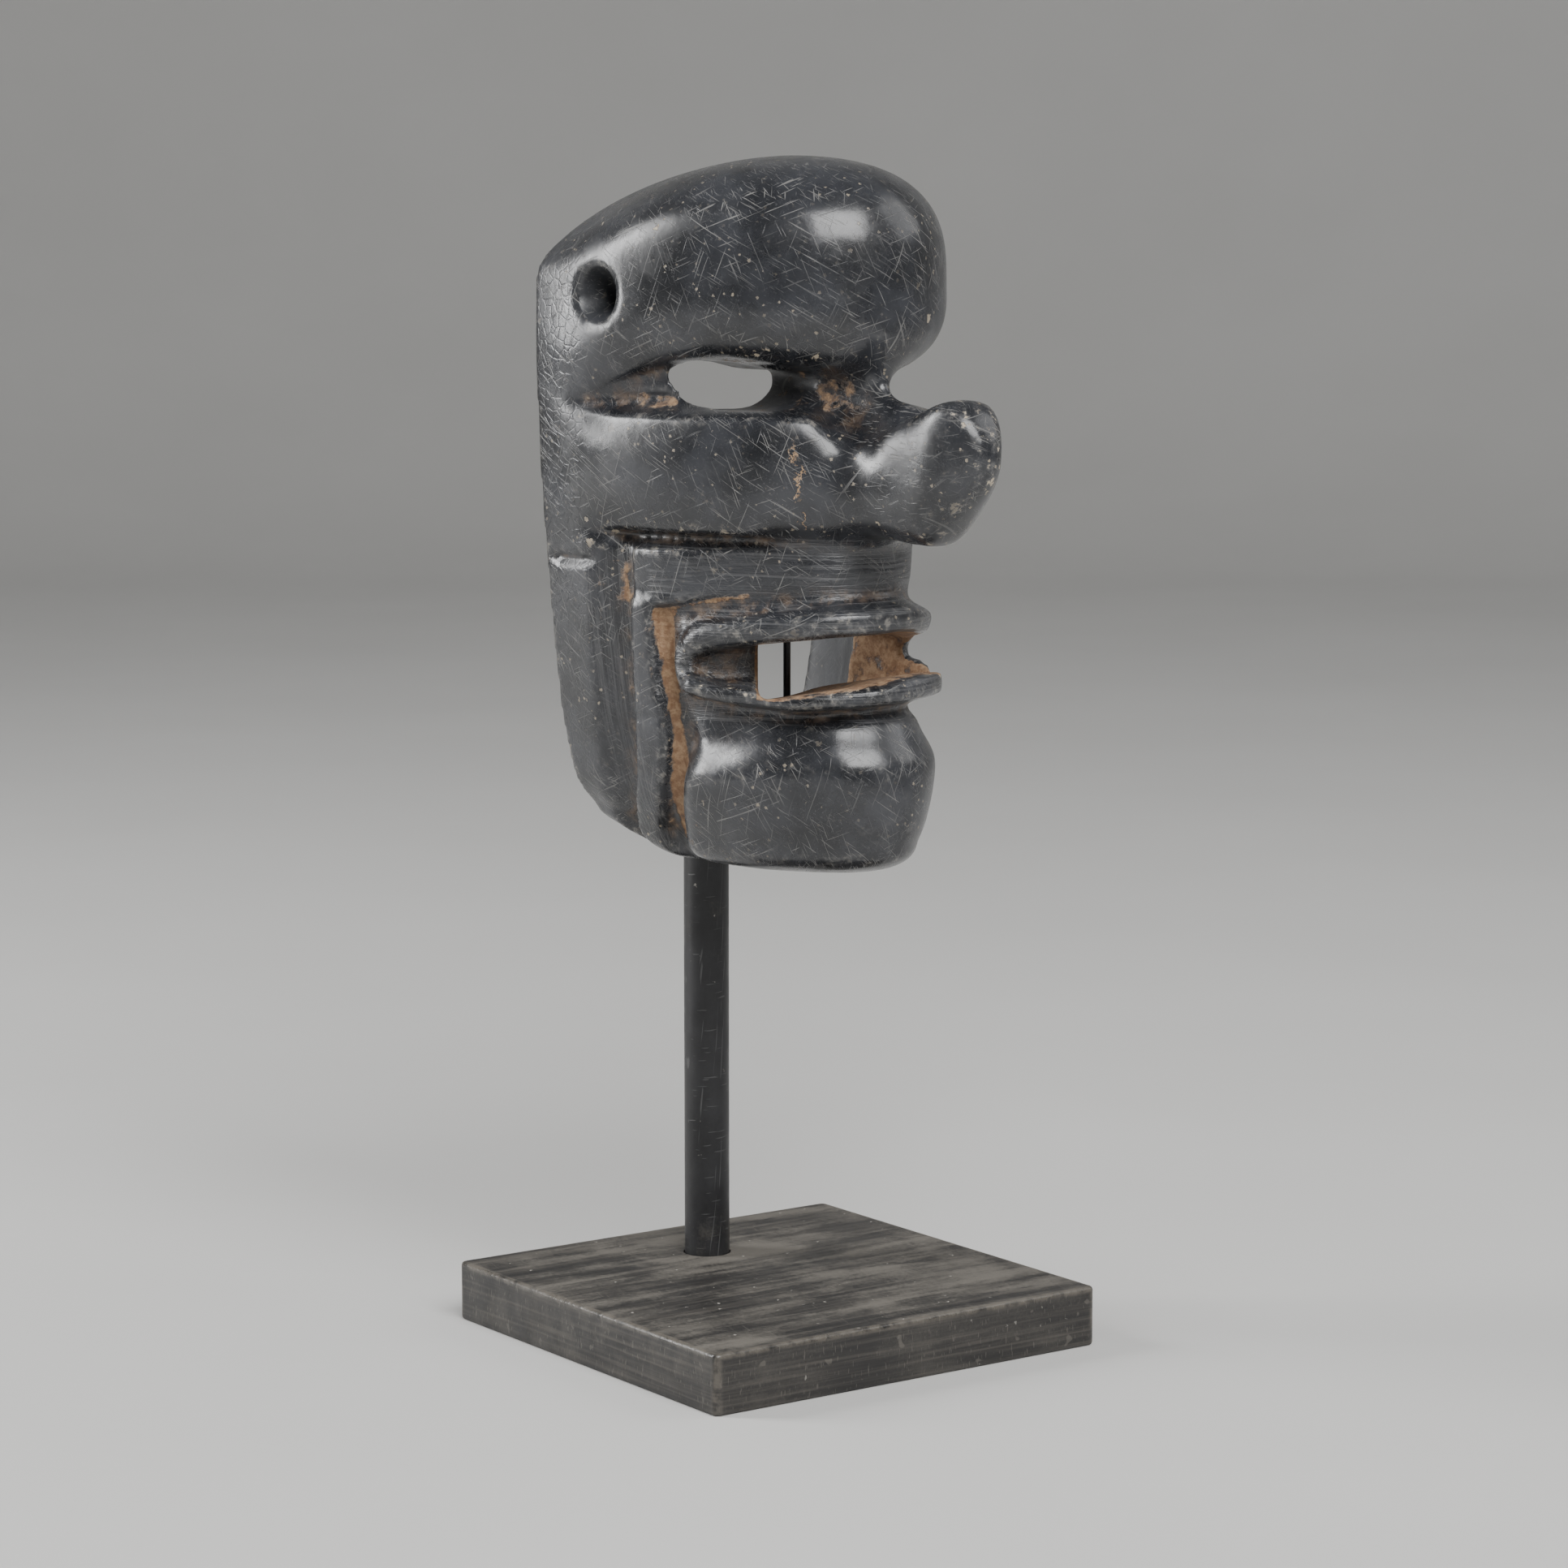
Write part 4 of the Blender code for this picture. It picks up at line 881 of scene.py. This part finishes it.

# %% [markdown]
# ## Dust, as a shared effect
# Dust settles in soft clouds and is wiped away in streaks. Three noises of very
# different sizes are added, and their sum is thresholded softly.

# %% Dust group
dust_inputs = (("Vector", "Vector", None), ("Cover", "Float", 0.5))
dust, given, result = new_group("dust", dust_inputs, (("Mask", "Float"),))
clouds = noise_of(dust, given["Vector"], 38.0, 4.0, 0.6, 0.4)
wiped = noise_of(dust, stretched(dust, given["Vector"], (26.0, 190.0, 120.0)), 1.0, 3.0, 0.55, 0.5)
grains = noise_of(dust, given["Vector"], 1500.0, 2.0, 0.7)
layered = plus(dust, times(dust, clouds, 0.5), times(dust, wiped, 0.5))
layered = plus(dust, layered, times(dust, grains, 0.22))
low_end = minus(dust, 0.86, times(dust, given["Cover"], 0.42))
dust.links.new(ramp(dust, layered, low_end, plus(dust, low_end, 0.22)), result["Mask"])

# %% [markdown]
# ## The stone
# The stone is a dense, dark, slightly blue rock, ground and polished but never
# to a mirror. Layer by layer: mottled colour, fine pale grain, tool marks along
# the cuts, scratches in five directions, pale worn edges, cream chips, and
# brown earth packed into the grooves, which is dull where the stone shines.

# %% Stone material
DEEP_STONE = (0.0085, 0.0092, 0.0115, 1.0)
LIGHT_STONE = (0.032, 0.034, 0.040, 1.0)
GRAIN_GREY = (0.115, 0.115, 0.118, 1.0)
SCRATCH_GREY = (0.21, 0.205, 0.195, 1.0)
CHIP_CREAM = (0.50, 0.42, 0.31, 1.0)
EARTH_BROWN = (0.205, 0.108, 0.052, 1.0)
EARTH_PALE = (0.36, 0.235, 0.135, 1.0)
SCRATCH_SETS = ((0.35, 0.011, 0.00030, 0.50), (1.15, 0.016, 0.00034, 0.46), (1.95, 0.009, 0.00026, 0.50),
                (2.60, 0.020, 0.00042, 0.40), (-0.55, 0.006, 0.00022, 0.55))
CRACK_MIDDLE = 0.1865
CRACK_REACH = 0.0115
CRACK_LEAN = -0.16
CRACK_AROUND = -0.0190


def measured(tree, name):
    """A value kept on the points of the mesh."""
    return node(tree, "Attribute", attribute_name=name, attribute_type="GEOMETRY").outputs["Fac"]


def stone_material():
    material, tree, shader = new_material("black stone")
    where = node(tree, "Attribute", attribute_name="place", attribute_type="GEOMETRY").outputs["Vector"]
    solid = node(tree, "TexCoord").outputs["Object"]

    mottle = ramp(tree, noise_of(tree, solid, 70.0, 5.0, 0.62), 0.32, 0.72)
    colour = blend(tree, mottle, DEEP_STONE, LIGHT_STONE)
    grain = ramp(tree, noise_of(tree, solid, 2100.0, 2.0, 0.6), 0.57, 0.74)
    patches = ramp(tree, noise_of(tree, solid, 120.0, 3.0, 0.6), 0.35, 0.7, 0.25, 1.0)
    colour = blend(tree, times(tree, grain, times(tree, patches, 0.55)), colour, GRAIN_GREY)

    down = noise_of(tree, stretched(tree, where, (1500.0, 900.0, 34.0)), 1.0, 3.0, 0.6, 0.3)
    cross = noise_of(tree, stretched(tree, where, (30.0, 900.0, 1500.0)), 1.0, 3.0, 0.6, 0.3)
    down = times(tree, ramp(tree, down, 0.45, 0.68), measured(tree, "down_marks"))
    cross = times(tree, ramp(tree, cross, 0.45, 0.68), measured(tree, "cross_marks"))
    tooled = larger(tree, down, cross)
    colour = blend(tree, times(tree, tooled, 0.35), colour, GRAIN_GREY)

    scored = crossed_scratches(tree, where, SCRATCH_SETS)
    busy = ramp(tree, noise_of(tree, solid, 55.0, 3.0, 0.6), 0.35, 0.68, 0.25, 1.0)
    scored = times(tree, scored, busy)
    colour = blend(tree, times(tree, scored, 0.75), colour, SCRATCH_GREY)

    uneven = noise_of(tree, solid, 420.0, 4.0, 0.65)
    edge = measured(tree, "edge")
    rubbed = times(tree, edge, ramp(tree, uneven, 0.48, 0.70))
    colour = blend(tree, times(tree, rubbed, 0.55), colour, SCRATCH_GREY)
    chipped = measured(tree, "chipped")
    small = use_group(tree, flecks, Vector=solid, Cell=0.0010, Amount=0.26, Radius=0.40)
    large = use_group(tree, flecks, Vector=solid, Cell=0.0040, Amount=0.26, Radius=0.26)
    chips = larger(tree, times(tree, small["Mask"], 0.5), large["Mask"])
    edge_chips = times(tree, edge, ramp(tree, uneven, 0.60, 0.66))
    edge_chips = times(tree, edge_chips, chipped)
    spread = ramp(tree, noise_of(tree, solid, 60.0, 2.0, 0.5), 0.48, 0.62, 0.12, 0.9)
    chips = times(tree, chips, larger(tree, spread, chipped))
    chips = larger(tree, chips, edge_chips)
    colour = blend(tree, chips, colour, CHIP_CREAM)

    parts = node(tree, "SeparateXYZ", {0: where}).outputs
    wiggle = times(tree, minus(tree, noise_of(tree, solid, 260.0, 4.0, 0.7), 0.5), 0.010)
    lean = times(tree, minus(tree, parts[2], CRACK_MIDDLE), CRACK_LEAN)
    off_line = minus(tree, plus(tree, parts[0], wiggle), plus(tree, lean, CRACK_AROUND))
    crack = ramp(tree, math_of(tree, "ABSOLUTE", off_line), 0.00035, 0.0001)
    reach = math_of(tree, "ABSOLUTE", minus(tree, parts[2], CRACK_MIDDLE))
    crack = times(tree, crack, ramp(tree, reach, CRACK_REACH, CRACK_REACH * 0.6))
    crack = times(tree, crack, ramp(tree, noise_of(tree, solid, 330.0, 2.0, 0.6), 0.40, 0.52))
    colour = blend(tree, crack, colour, EARTH_PALE)

    packed = noise_of(tree, solid, 260.0, 6.0, 0.68)
    earth = plus(tree, measured(tree, "earth"), times(tree, minus(tree, packed, 0.5), 1.9))
    earth = ramp(tree, earth, 0.42, 0.78)
    paler = ramp(tree, noise_of(tree, solid, 520.0, 4.0, 0.7), 0.38, 0.68)
    earth_tone = blend(tree, paler, EARTH_BROWN, EARTH_PALE)
    film = times(tree, measured(tree, "hollow"), ramp(tree, packed, 0.42, 0.66, 0.0, 0.32))
    cover = times(tree, larger(tree, earth, film), 0.92)
    colour = blend(tree, cover, colour, earth_tone)
    tree.links.new(colour, shader["Base Color"])

    sheen = ramp(tree, noise_of(tree, solid, 90.0, 5.0, 0.65), 0.30, 0.72, 0.19, 0.34)
    dulled = times(tree, larger(tree, tooled, measured(tree, "inside")), 0.20)
    dull = plus(tree, sheen, times(tree, scored, 0.22))
    dull = plus(tree, dull, dulled)
    dull = plus(tree, dull, times(tree, chips, 0.3))
    dull = plus(tree, dull, times(tree, cover, 0.55))
    tree.links.new(math_of(tree, "MINIMUM", dull, 0.95), shader["Roughness"])

    fine = noise_of(tree, solid, 1400.0, 3.0, 0.6)
    waves = noise_of(tree, solid, 85.0, 3.0, 0.5)
    crackle = node(tree, "TexVoronoi", {"Vector": solid, "Scale": 430.0},
                   feature="DISTANCE_TO_EDGE").outputs["Distance"]
    crackle = times(tree, ramp(tree, crackle, 0.10, 0.0), measured(tree, "rim"))
    raised = times(tree, fine, 0.000016)
    raised = plus(tree, raised, times(tree, waves, 0.00022))
    sunk = ((scored, 0.000028), (tooled, 0.00008), (chips, 0.00010), (crack, 0.00012), (crackle, 0.000022))
    for mask, depth in sunk:
        raised = minus(tree, raised, times(tree, mask, depth))
    clods = times(tree, times(tree, packed, 0.00035), cover)
    raised = plus(tree, raised, clods)
    add_relief(tree, shader, raised)
    shader["IOR"].default_value = 1.62
    return material


net.materials.clear()
net.materials.append(stone_material())
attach(stone_mask, "root")
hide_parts("mask")
print("stone mask:", sum(len(face.vertices) - 2 for face in net.polygons), "triangles")

# %% [markdown]
# ## The wooden base
# The base is a sawn block, painted black. It starts as a cube, its upright
# corners are rounded a little, then every rim is planed to a fine chamfer. A
# round socket is cut for the post, a hair wider than the rod, so a dark ring
# shows round the post's foot as on the real one.

# %% Shape the base
base_low, base_high = (Vector(corner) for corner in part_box("base"))
post_low, post_high = (Vector(corner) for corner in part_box("post"))
post_radius = (post_high.x - post_low.x) / 2.0
post_axis = Vector(((post_low.x + post_high.x) / 2.0, (post_low.y + post_high.y) / 2.0, 0.0))
CORNER_RADIUS = 0.0016
CHAMFER = 0.0008
SOCKET_GAP = 0.0003
CUT_PAST = 0.01


def block():
    """A cube the size of the base, with eased corners and a fine chamfer."""
    mesh = bmesh.new()
    bmesh.ops.create_cube(mesh, size=1.0)
    bmesh.ops.scale(mesh, vec=base_high - base_low, verts=mesh.verts)
    bmesh.ops.translate(mesh, vec=(base_low + base_high) / 2.0, verts=mesh.verts)
    tall = (base_high.z - base_low.z) / 2.0
    upright = [edge for edge in mesh.edges if abs(edge.verts[0].co.z - edge.verts[1].co.z) > tall]
    bmesh.ops.bevel(mesh, geom=upright, offset=CORNER_RADIUS, segments=8, profile=0.5, affect="EDGES",
                    material=-1)
    rims = [edge for edge in mesh.edges if abs(edge.verts[0].co.z - edge.verts[1].co.z) < CHAMFER / 10.0]
    bmesh.ops.bevel(mesh, geom=rims, offset=CHAMFER, segments=4, profile=0.5, affect="EDGES", material=-1)
    return piece_from(mesh, "wooden_base")


def rod(name, radius, foot, top, steps=96):
    """A round bar turned about the post's axis, with a fine chamfer on its top end."""
    trim = radius * 0.12
    profile = ((0.0, top), (radius - trim, top), (radius, top - trim), (radius, foot), (0.0, foot))
    mesh = bmesh.new()
    points = [mesh.verts.new((post_axis.x + x, post_axis.y, z)) for x, z in profile]
    rim = [mesh.edges.new(pair) for pair in zip(points, points[1:])]
    bmesh.ops.spin(mesh, geom=points + rim, cent=post_axis, axis=(0, 0, 1), angle=math.tau, steps=steps,
                   use_merge=True)
    return piece_from(mesh, name)


def crisp(piece, degrees):
    """Smooth shading that still breaks at real edges."""
    piece.data.shade_smooth()
    piece.data.set_sharp_from_angle(angle=math.radians(degrees))


base = block()
socket_depth = base_high.z - post_low.z + SOCKET_GAP
socket = rod("socket", post_radius + SOCKET_GAP, base_high.z - socket_depth, base_high.z + CUT_PAST)
carve(base, socket, "DIFFERENCE")
crisp(base, 30)

# %% [markdown]
# ## Painted wood
# Black paint lies thin over the grain, so fine lines run along the sides. The
# top has caught grey-brown dust, wiped into streaks, with specks and a few
# hairs, and the chamfer is worn to a shine. Object coordinates tell the top
# from the sides, and the distance to the edges gives the wear.

# %% Paint material
PAINT_BLACK = (0.017, 0.016, 0.0155, 1.0)
PAINT_WORN = (0.060, 0.054, 0.047, 1.0)
DUST_GREY = (0.155, 0.142, 0.122, 1.0)
SPECK_PALE = (0.42, 0.40, 0.36, 1.0)
EDGE_BROWN = (0.135, 0.120, 0.100, 1.0)
WOOD_SCRATCHES = ((0.10, 0.018, 0.0003, 0.48), (1.30, 0.012, 0.0003, 0.44), (2.20, 0.009, 0.0003, 0.50))


def painted_wood():
    material, tree, shader = new_material("black painted wood")
    solid = node(tree, "TexCoord").outputs["Object"]
    parts = node(tree, "SeparateXYZ", {0: solid}).outputs
    reach_x = math_of(tree, "ABSOLUTE", parts[0])
    reach_y = math_of(tree, "ABSOLUTE", parts[1])
    reach = larger(tree, reach_x, reach_y)
    on_top = ramp(tree, parts[2], base_high.z - 0.0004, base_high.z - 0.0001)
    near_side = ramp(tree, reach, base_high.x - 0.0016, base_high.x - 0.0006)
    near_rim = ramp(tree, parts[2], base_high.z - 0.0016, base_high.z - 0.0004)
    on_edge = times(tree, near_side, near_rim)
    nearer = math_of(tree, "MINIMUM", reach_x, reach_y)
    corner = ramp(tree, nearer, base_high.x - 0.0022, base_high.x - 0.0006)
    on_edge = larger(tree, on_edge, times(tree, corner, 0.8))

    grain = noise_of(tree, stretched(tree, solid, (18.0, 18.0, 900.0)), 1.0, 4.0, 0.6, 0.2)
    top_grain = noise_of(tree, stretched(tree, solid, (14.0, 620.0, 14.0)), 1.0, 4.0, 0.6, 0.25)
    lines = node(tree, "Mix", {0: on_top, 2: grain, 3: top_grain}, data_type="FLOAT").outputs[0]
    colour = blend(tree, ramp(tree, lines, 0.42, 0.75), PAINT_BLACK, PAINT_WORN)
    flat = node(tree, "Mapping", {"Vector": solid, "Rotation": (math.radians(90.0), 0.0, 0.0)}).outputs[0]
    marks = crossed_scratches(tree, flat, WOOD_SCRATCHES)
    settled = use_group(tree, dust, Vector=solid, Cover=0.78)["Mask"]
    settled = times(tree, settled, ramp(tree, on_top, 0.0, 1.0, 0.22, 0.80))
    specks = use_group(tree, flecks, Vector=solid, Cell=0.0024, Amount=0.42, Radius=0.16)
    specks = times(tree, specks["Mask"], ramp(tree, on_top, 0.0, 1.0, 0.35, 1.0))
    colour = blend(tree, settled, colour, DUST_GREY)
    colour = blend(tree, times(tree, marks, 0.35), colour, DUST_GREY)
    colour = blend(tree, specks, colour, SPECK_PALE)
    worn = times(tree, on_edge, ramp(tree, noise_of(tree, solid, 240.0, 4.0, 0.65), 0.36, 0.58))
    colour = blend(tree, times(tree, worn, 0.75), colour, EDGE_BROWN)
    tree.links.new(colour, shader["Base Color"])
    dull = plus(tree, ramp(tree, noise_of(tree, solid, 130.0, 4.0, 0.6), 0.3, 0.7, 0.42, 0.58),
                   times(tree, settled, 0.30))
    dull = minus(tree, dull, times(tree, on_edge, 0.22))
    tree.links.new(dull, shader["Roughness"])
    raised = times(tree, lines, 0.00006)
    raised = plus(tree, raised, times(tree, noise_of(tree, solid, 60.0, 3.0, 0.5), 0.00025))
    raised = plus(tree, raised, times(tree, specks, 0.00008))
    for mask, depth in ((marks, 0.00002), (worn, 0.00006)):
        raised = minus(tree, raised, times(tree, mask, depth))
    add_relief(tree, shader, raised)
    return material


base.data.materials.clear()
base.data.materials.append(painted_wood())
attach(base, "root")
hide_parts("base")

# %% [markdown]
# ## The post and the wire
# The post is a plain rod turned about its axis, painted satin black; the bore
# for the wire is cut in its top end. The wire keeps the solid's own bends: a
# merged copy of it is given smooth shading, so that its round shows smooth.

# %% Shape the post and the wire
wire_low, wire_high = (Vector(corner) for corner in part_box("mount_wire"))
wire_radius = (wire_high.x - wire_low.x) / 2.0
BORE_DEPTH = 0.008

post = rod("steel_post", post_radius, post_low.z, post_high.z)
bore = rod("wire_bore", wire_radius + SOCKET_GAP, post_high.z - BORE_DEPTH, post_high.z + CUT_PAST, 32)
carve(post, bore, "DIFFERENCE")
crisp(post, 30)

mesh = bmesh.new()
mesh.from_mesh(bpy.data.objects["mount_wire"].data)
bmesh.ops.remove_doubles(mesh, verts=mesh.verts, dist=1e-6)
wire = piece_from(mesh, "bent_wire")
crisp(wire, 40)

# %% [markdown]
# ## Painted steel and bare wire
# The rod's paint is satin and even, with scuffs where the mask has been lifted
# on and off. The wire is darkened steel, drawn through a die, so its faint
# lines run along it.

# %% Metal materials
POST_BLACK = (0.016, 0.016, 0.017, 1.0)
POST_SCUFF = (0.10, 0.10, 0.10, 1.0)
WIRE_GREY = (0.045, 0.045, 0.048, 1.0)
WIRE_SCUFF = (0.16, 0.16, 0.16, 1.0)
METAL_SPECK = (0.30, 0.28, 0.25, 1.0)
METAL_SCRATCHES = ((0.08, 0.006, 0.0004, 0.42), (1.50, 0.014, 0.0003, 0.52))


def dark_metal(name, colour, worn_colour, metallic, sheen):
    """Satin black metal with clouds, lengthwise lines and scuffs."""
    material, tree, shader = new_material(name)
    solid = node(tree, "TexCoord").outputs["Object"]
    clouds = ramp(tree, noise_of(tree, solid, 90.0, 5.0, 0.65), 0.3, 0.7)
    tone = blend(tree, clouds, colour, tuple(channel * 1.9 for channel in colour[:3]) + (1.0,))
    marks = crossed_scratches(tree, solid, METAL_SCRATCHES)
    specks = use_group(tree, flecks, Vector=solid, Cell=0.0030, Amount=0.35, Radius=0.14)["Mask"]
    settled = use_group(tree, dust, Vector=solid, Cover=0.45)["Mask"]
    tone = blend(tree, times(tree, marks, 0.6), tone, worn_colour)
    tone = blend(tree, times(tree, settled, 0.35), tone, DUST_GREY)
    tone = blend(tree, times(tree, specks, 0.7), tone, METAL_SPECK)
    tree.links.new(tone, shader["Base Color"])
    dull = ramp(tree, clouds, 0.0, 1.0, sheen, sheen + 0.14)
    dull = plus(tree, dull, times(tree, marks, 0.12))
    tree.links.new(plus(tree, dull, times(tree, settled, 0.2)), shader["Roughness"])
    raised = times(tree, noise_of(tree, solid, 1600.0, 2.0, 0.6), 0.000012)
    raised = minus(tree, raised, times(tree, marks, 0.000015))
    add_relief(tree, shader, raised)
    shader["Metallic"].default_value = metallic
    return material


post_paint = dark_metal("black painted steel", POST_BLACK, POST_SCUFF, 0.3, 0.34)
wire_finish = dark_metal("dark steel wire", WIRE_GREY, WIRE_SCUFF, 0.85, 0.28)
metal_pieces = ((post, "post", "post_steel", post_paint), (wire, "mount_wire", "wire_steel", wire_finish))
for piece, solid_node, slot, material in metal_pieces:
    piece.data.materials.clear()
    piece.data.materials.append(material)
    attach(piece, "root")
    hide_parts(solid_node)
    print(piece.name, "stands for", solid_node)

# %% [markdown]
# ## Camera, floor and light
# The camera stands to the mask's right and a little above, with a long lens.
# The floor is a pale sheet that curves up into a round wall, so no line shows
# where they meet. A tall soft light stands behind on the left and draws the
# bright rims, and a square one in front makes the patch on the brow.

# %% Camera and floor
CAMERA_PLACE = Vector((-0.5405, -0.7595, 0.2418))
CAMERA_AZIMUTH = math.radians(-35.579)
CAMERA_ELEVATION = math.radians(7.380)
camera = bpy.data.objects.new("camera", bpy.data.cameras.new("camera"))
camera.data.lens = 100.0
camera.data.sensor_width = 36.0
level = math.cos(CAMERA_ELEVATION)
back = Vector((math.sin(CAMERA_AZIMUTH) * level, -math.cos(CAMERA_AZIMUTH) * level,
               math.sin(CAMERA_ELEVATION)))
right = Vector((math.cos(CAMERA_AZIMUTH), math.sin(CAMERA_AZIMUTH), 0.0))
axes = Matrix((right, back.cross(right), back)).transposed()
camera.matrix_world = Matrix.Translation(CAMERA_PLACE) @ axes.to_4x4()
bpy.context.scene.collection.objects.link(camera)
bpy.context.scene.camera = camera

FLOOR_RADIUS = 2.0
COVE_RADIUS = 0.8
WALL_TOP = 2.6
PAPER_DARK = (0.60, 0.595, 0.58, 1.0)
PAPER_LIGHT = (0.66, 0.655, 0.64, 1.0)
WORLD_TINT = (0.80, 0.81, 0.83, 1.0)
WORLD_STRENGTH = 0.30


def round_sweep():
    """A round floor that curves up into a wall on every side."""
    mesh = bmesh.new()
    turns = np.linspace(0.0, math.pi / 2.0, 17)
    profile = [(0.0, 0.0)]
    profile += [(FLOOR_RADIUS + COVE_RADIUS * math.sin(turn), COVE_RADIUS * (1.0 - math.cos(turn)))
                for turn in turns]
    profile.append((FLOOR_RADIUS + COVE_RADIUS, WALL_TOP))
    corners = [mesh.verts.new((radius, 0.0, z)) for radius, z in profile]
    line = [mesh.edges.new(pair) for pair in zip(corners, corners[1:])]
    bmesh.ops.spin(mesh, geom=corners + line, cent=(0, 0, 0), axis=(0, 0, 1), angle=math.tau,
                   steps=128, use_merge=True)
    return piece_from(mesh, "floor")


def paper_material():
    material, tree, shader = new_material("pale paper")
    solid = node(tree, "TexCoord").outputs["Object"]
    tint = blend(tree, noise_of(tree, solid, 6.0, 3.0, 0.5), PAPER_DARK, PAPER_LIGHT)
    tree.links.new(tint, shader["Base Color"])
    shader["Roughness"].default_value = 0.75
    return material


floor = round_sweep()
floor.data.materials.append(paper_material())


# %% Lights
def softbox(name, place, target, size, power):
    """A rectangular light that looks at a point."""
    lamp = bpy.data.lights.new(name, "AREA")
    lamp.shape = "RECTANGLE"
    lamp.size, lamp.size_y = size
    lamp.energy = power
    light = bpy.data.objects.new(name, lamp)
    light.location = place
    light.rotation_euler = (Vector(target) - Vector(place)).to_track_quat("-Z", "Y").to_euler()
    bpy.context.scene.collection.objects.link(light)
    print(name, "at", place, "power", power)


softbox("rim light", (-0.85, 0.75, 0.60), (0, 0, 0.18), (0.32, 0.9), 14.0)
softbox("front light", (-0.29, -1.08, 1.12), (0, 0, 0.17), (1.05, 0.85), 28.0)
softbox("fill", (0.9, -0.5, 0.9), (0, 0, 0.15), (0.8, 0.8), 3.5)
world = bpy.data.worlds.new("studio")
bpy.context.scene.world = world
world.use_nodes = True
world.node_tree.nodes["Background"].inputs["Color"].default_value = WORLD_TINT
world.node_tree.nodes["Background"].inputs["Strength"].default_value = WORLD_STRENGTH
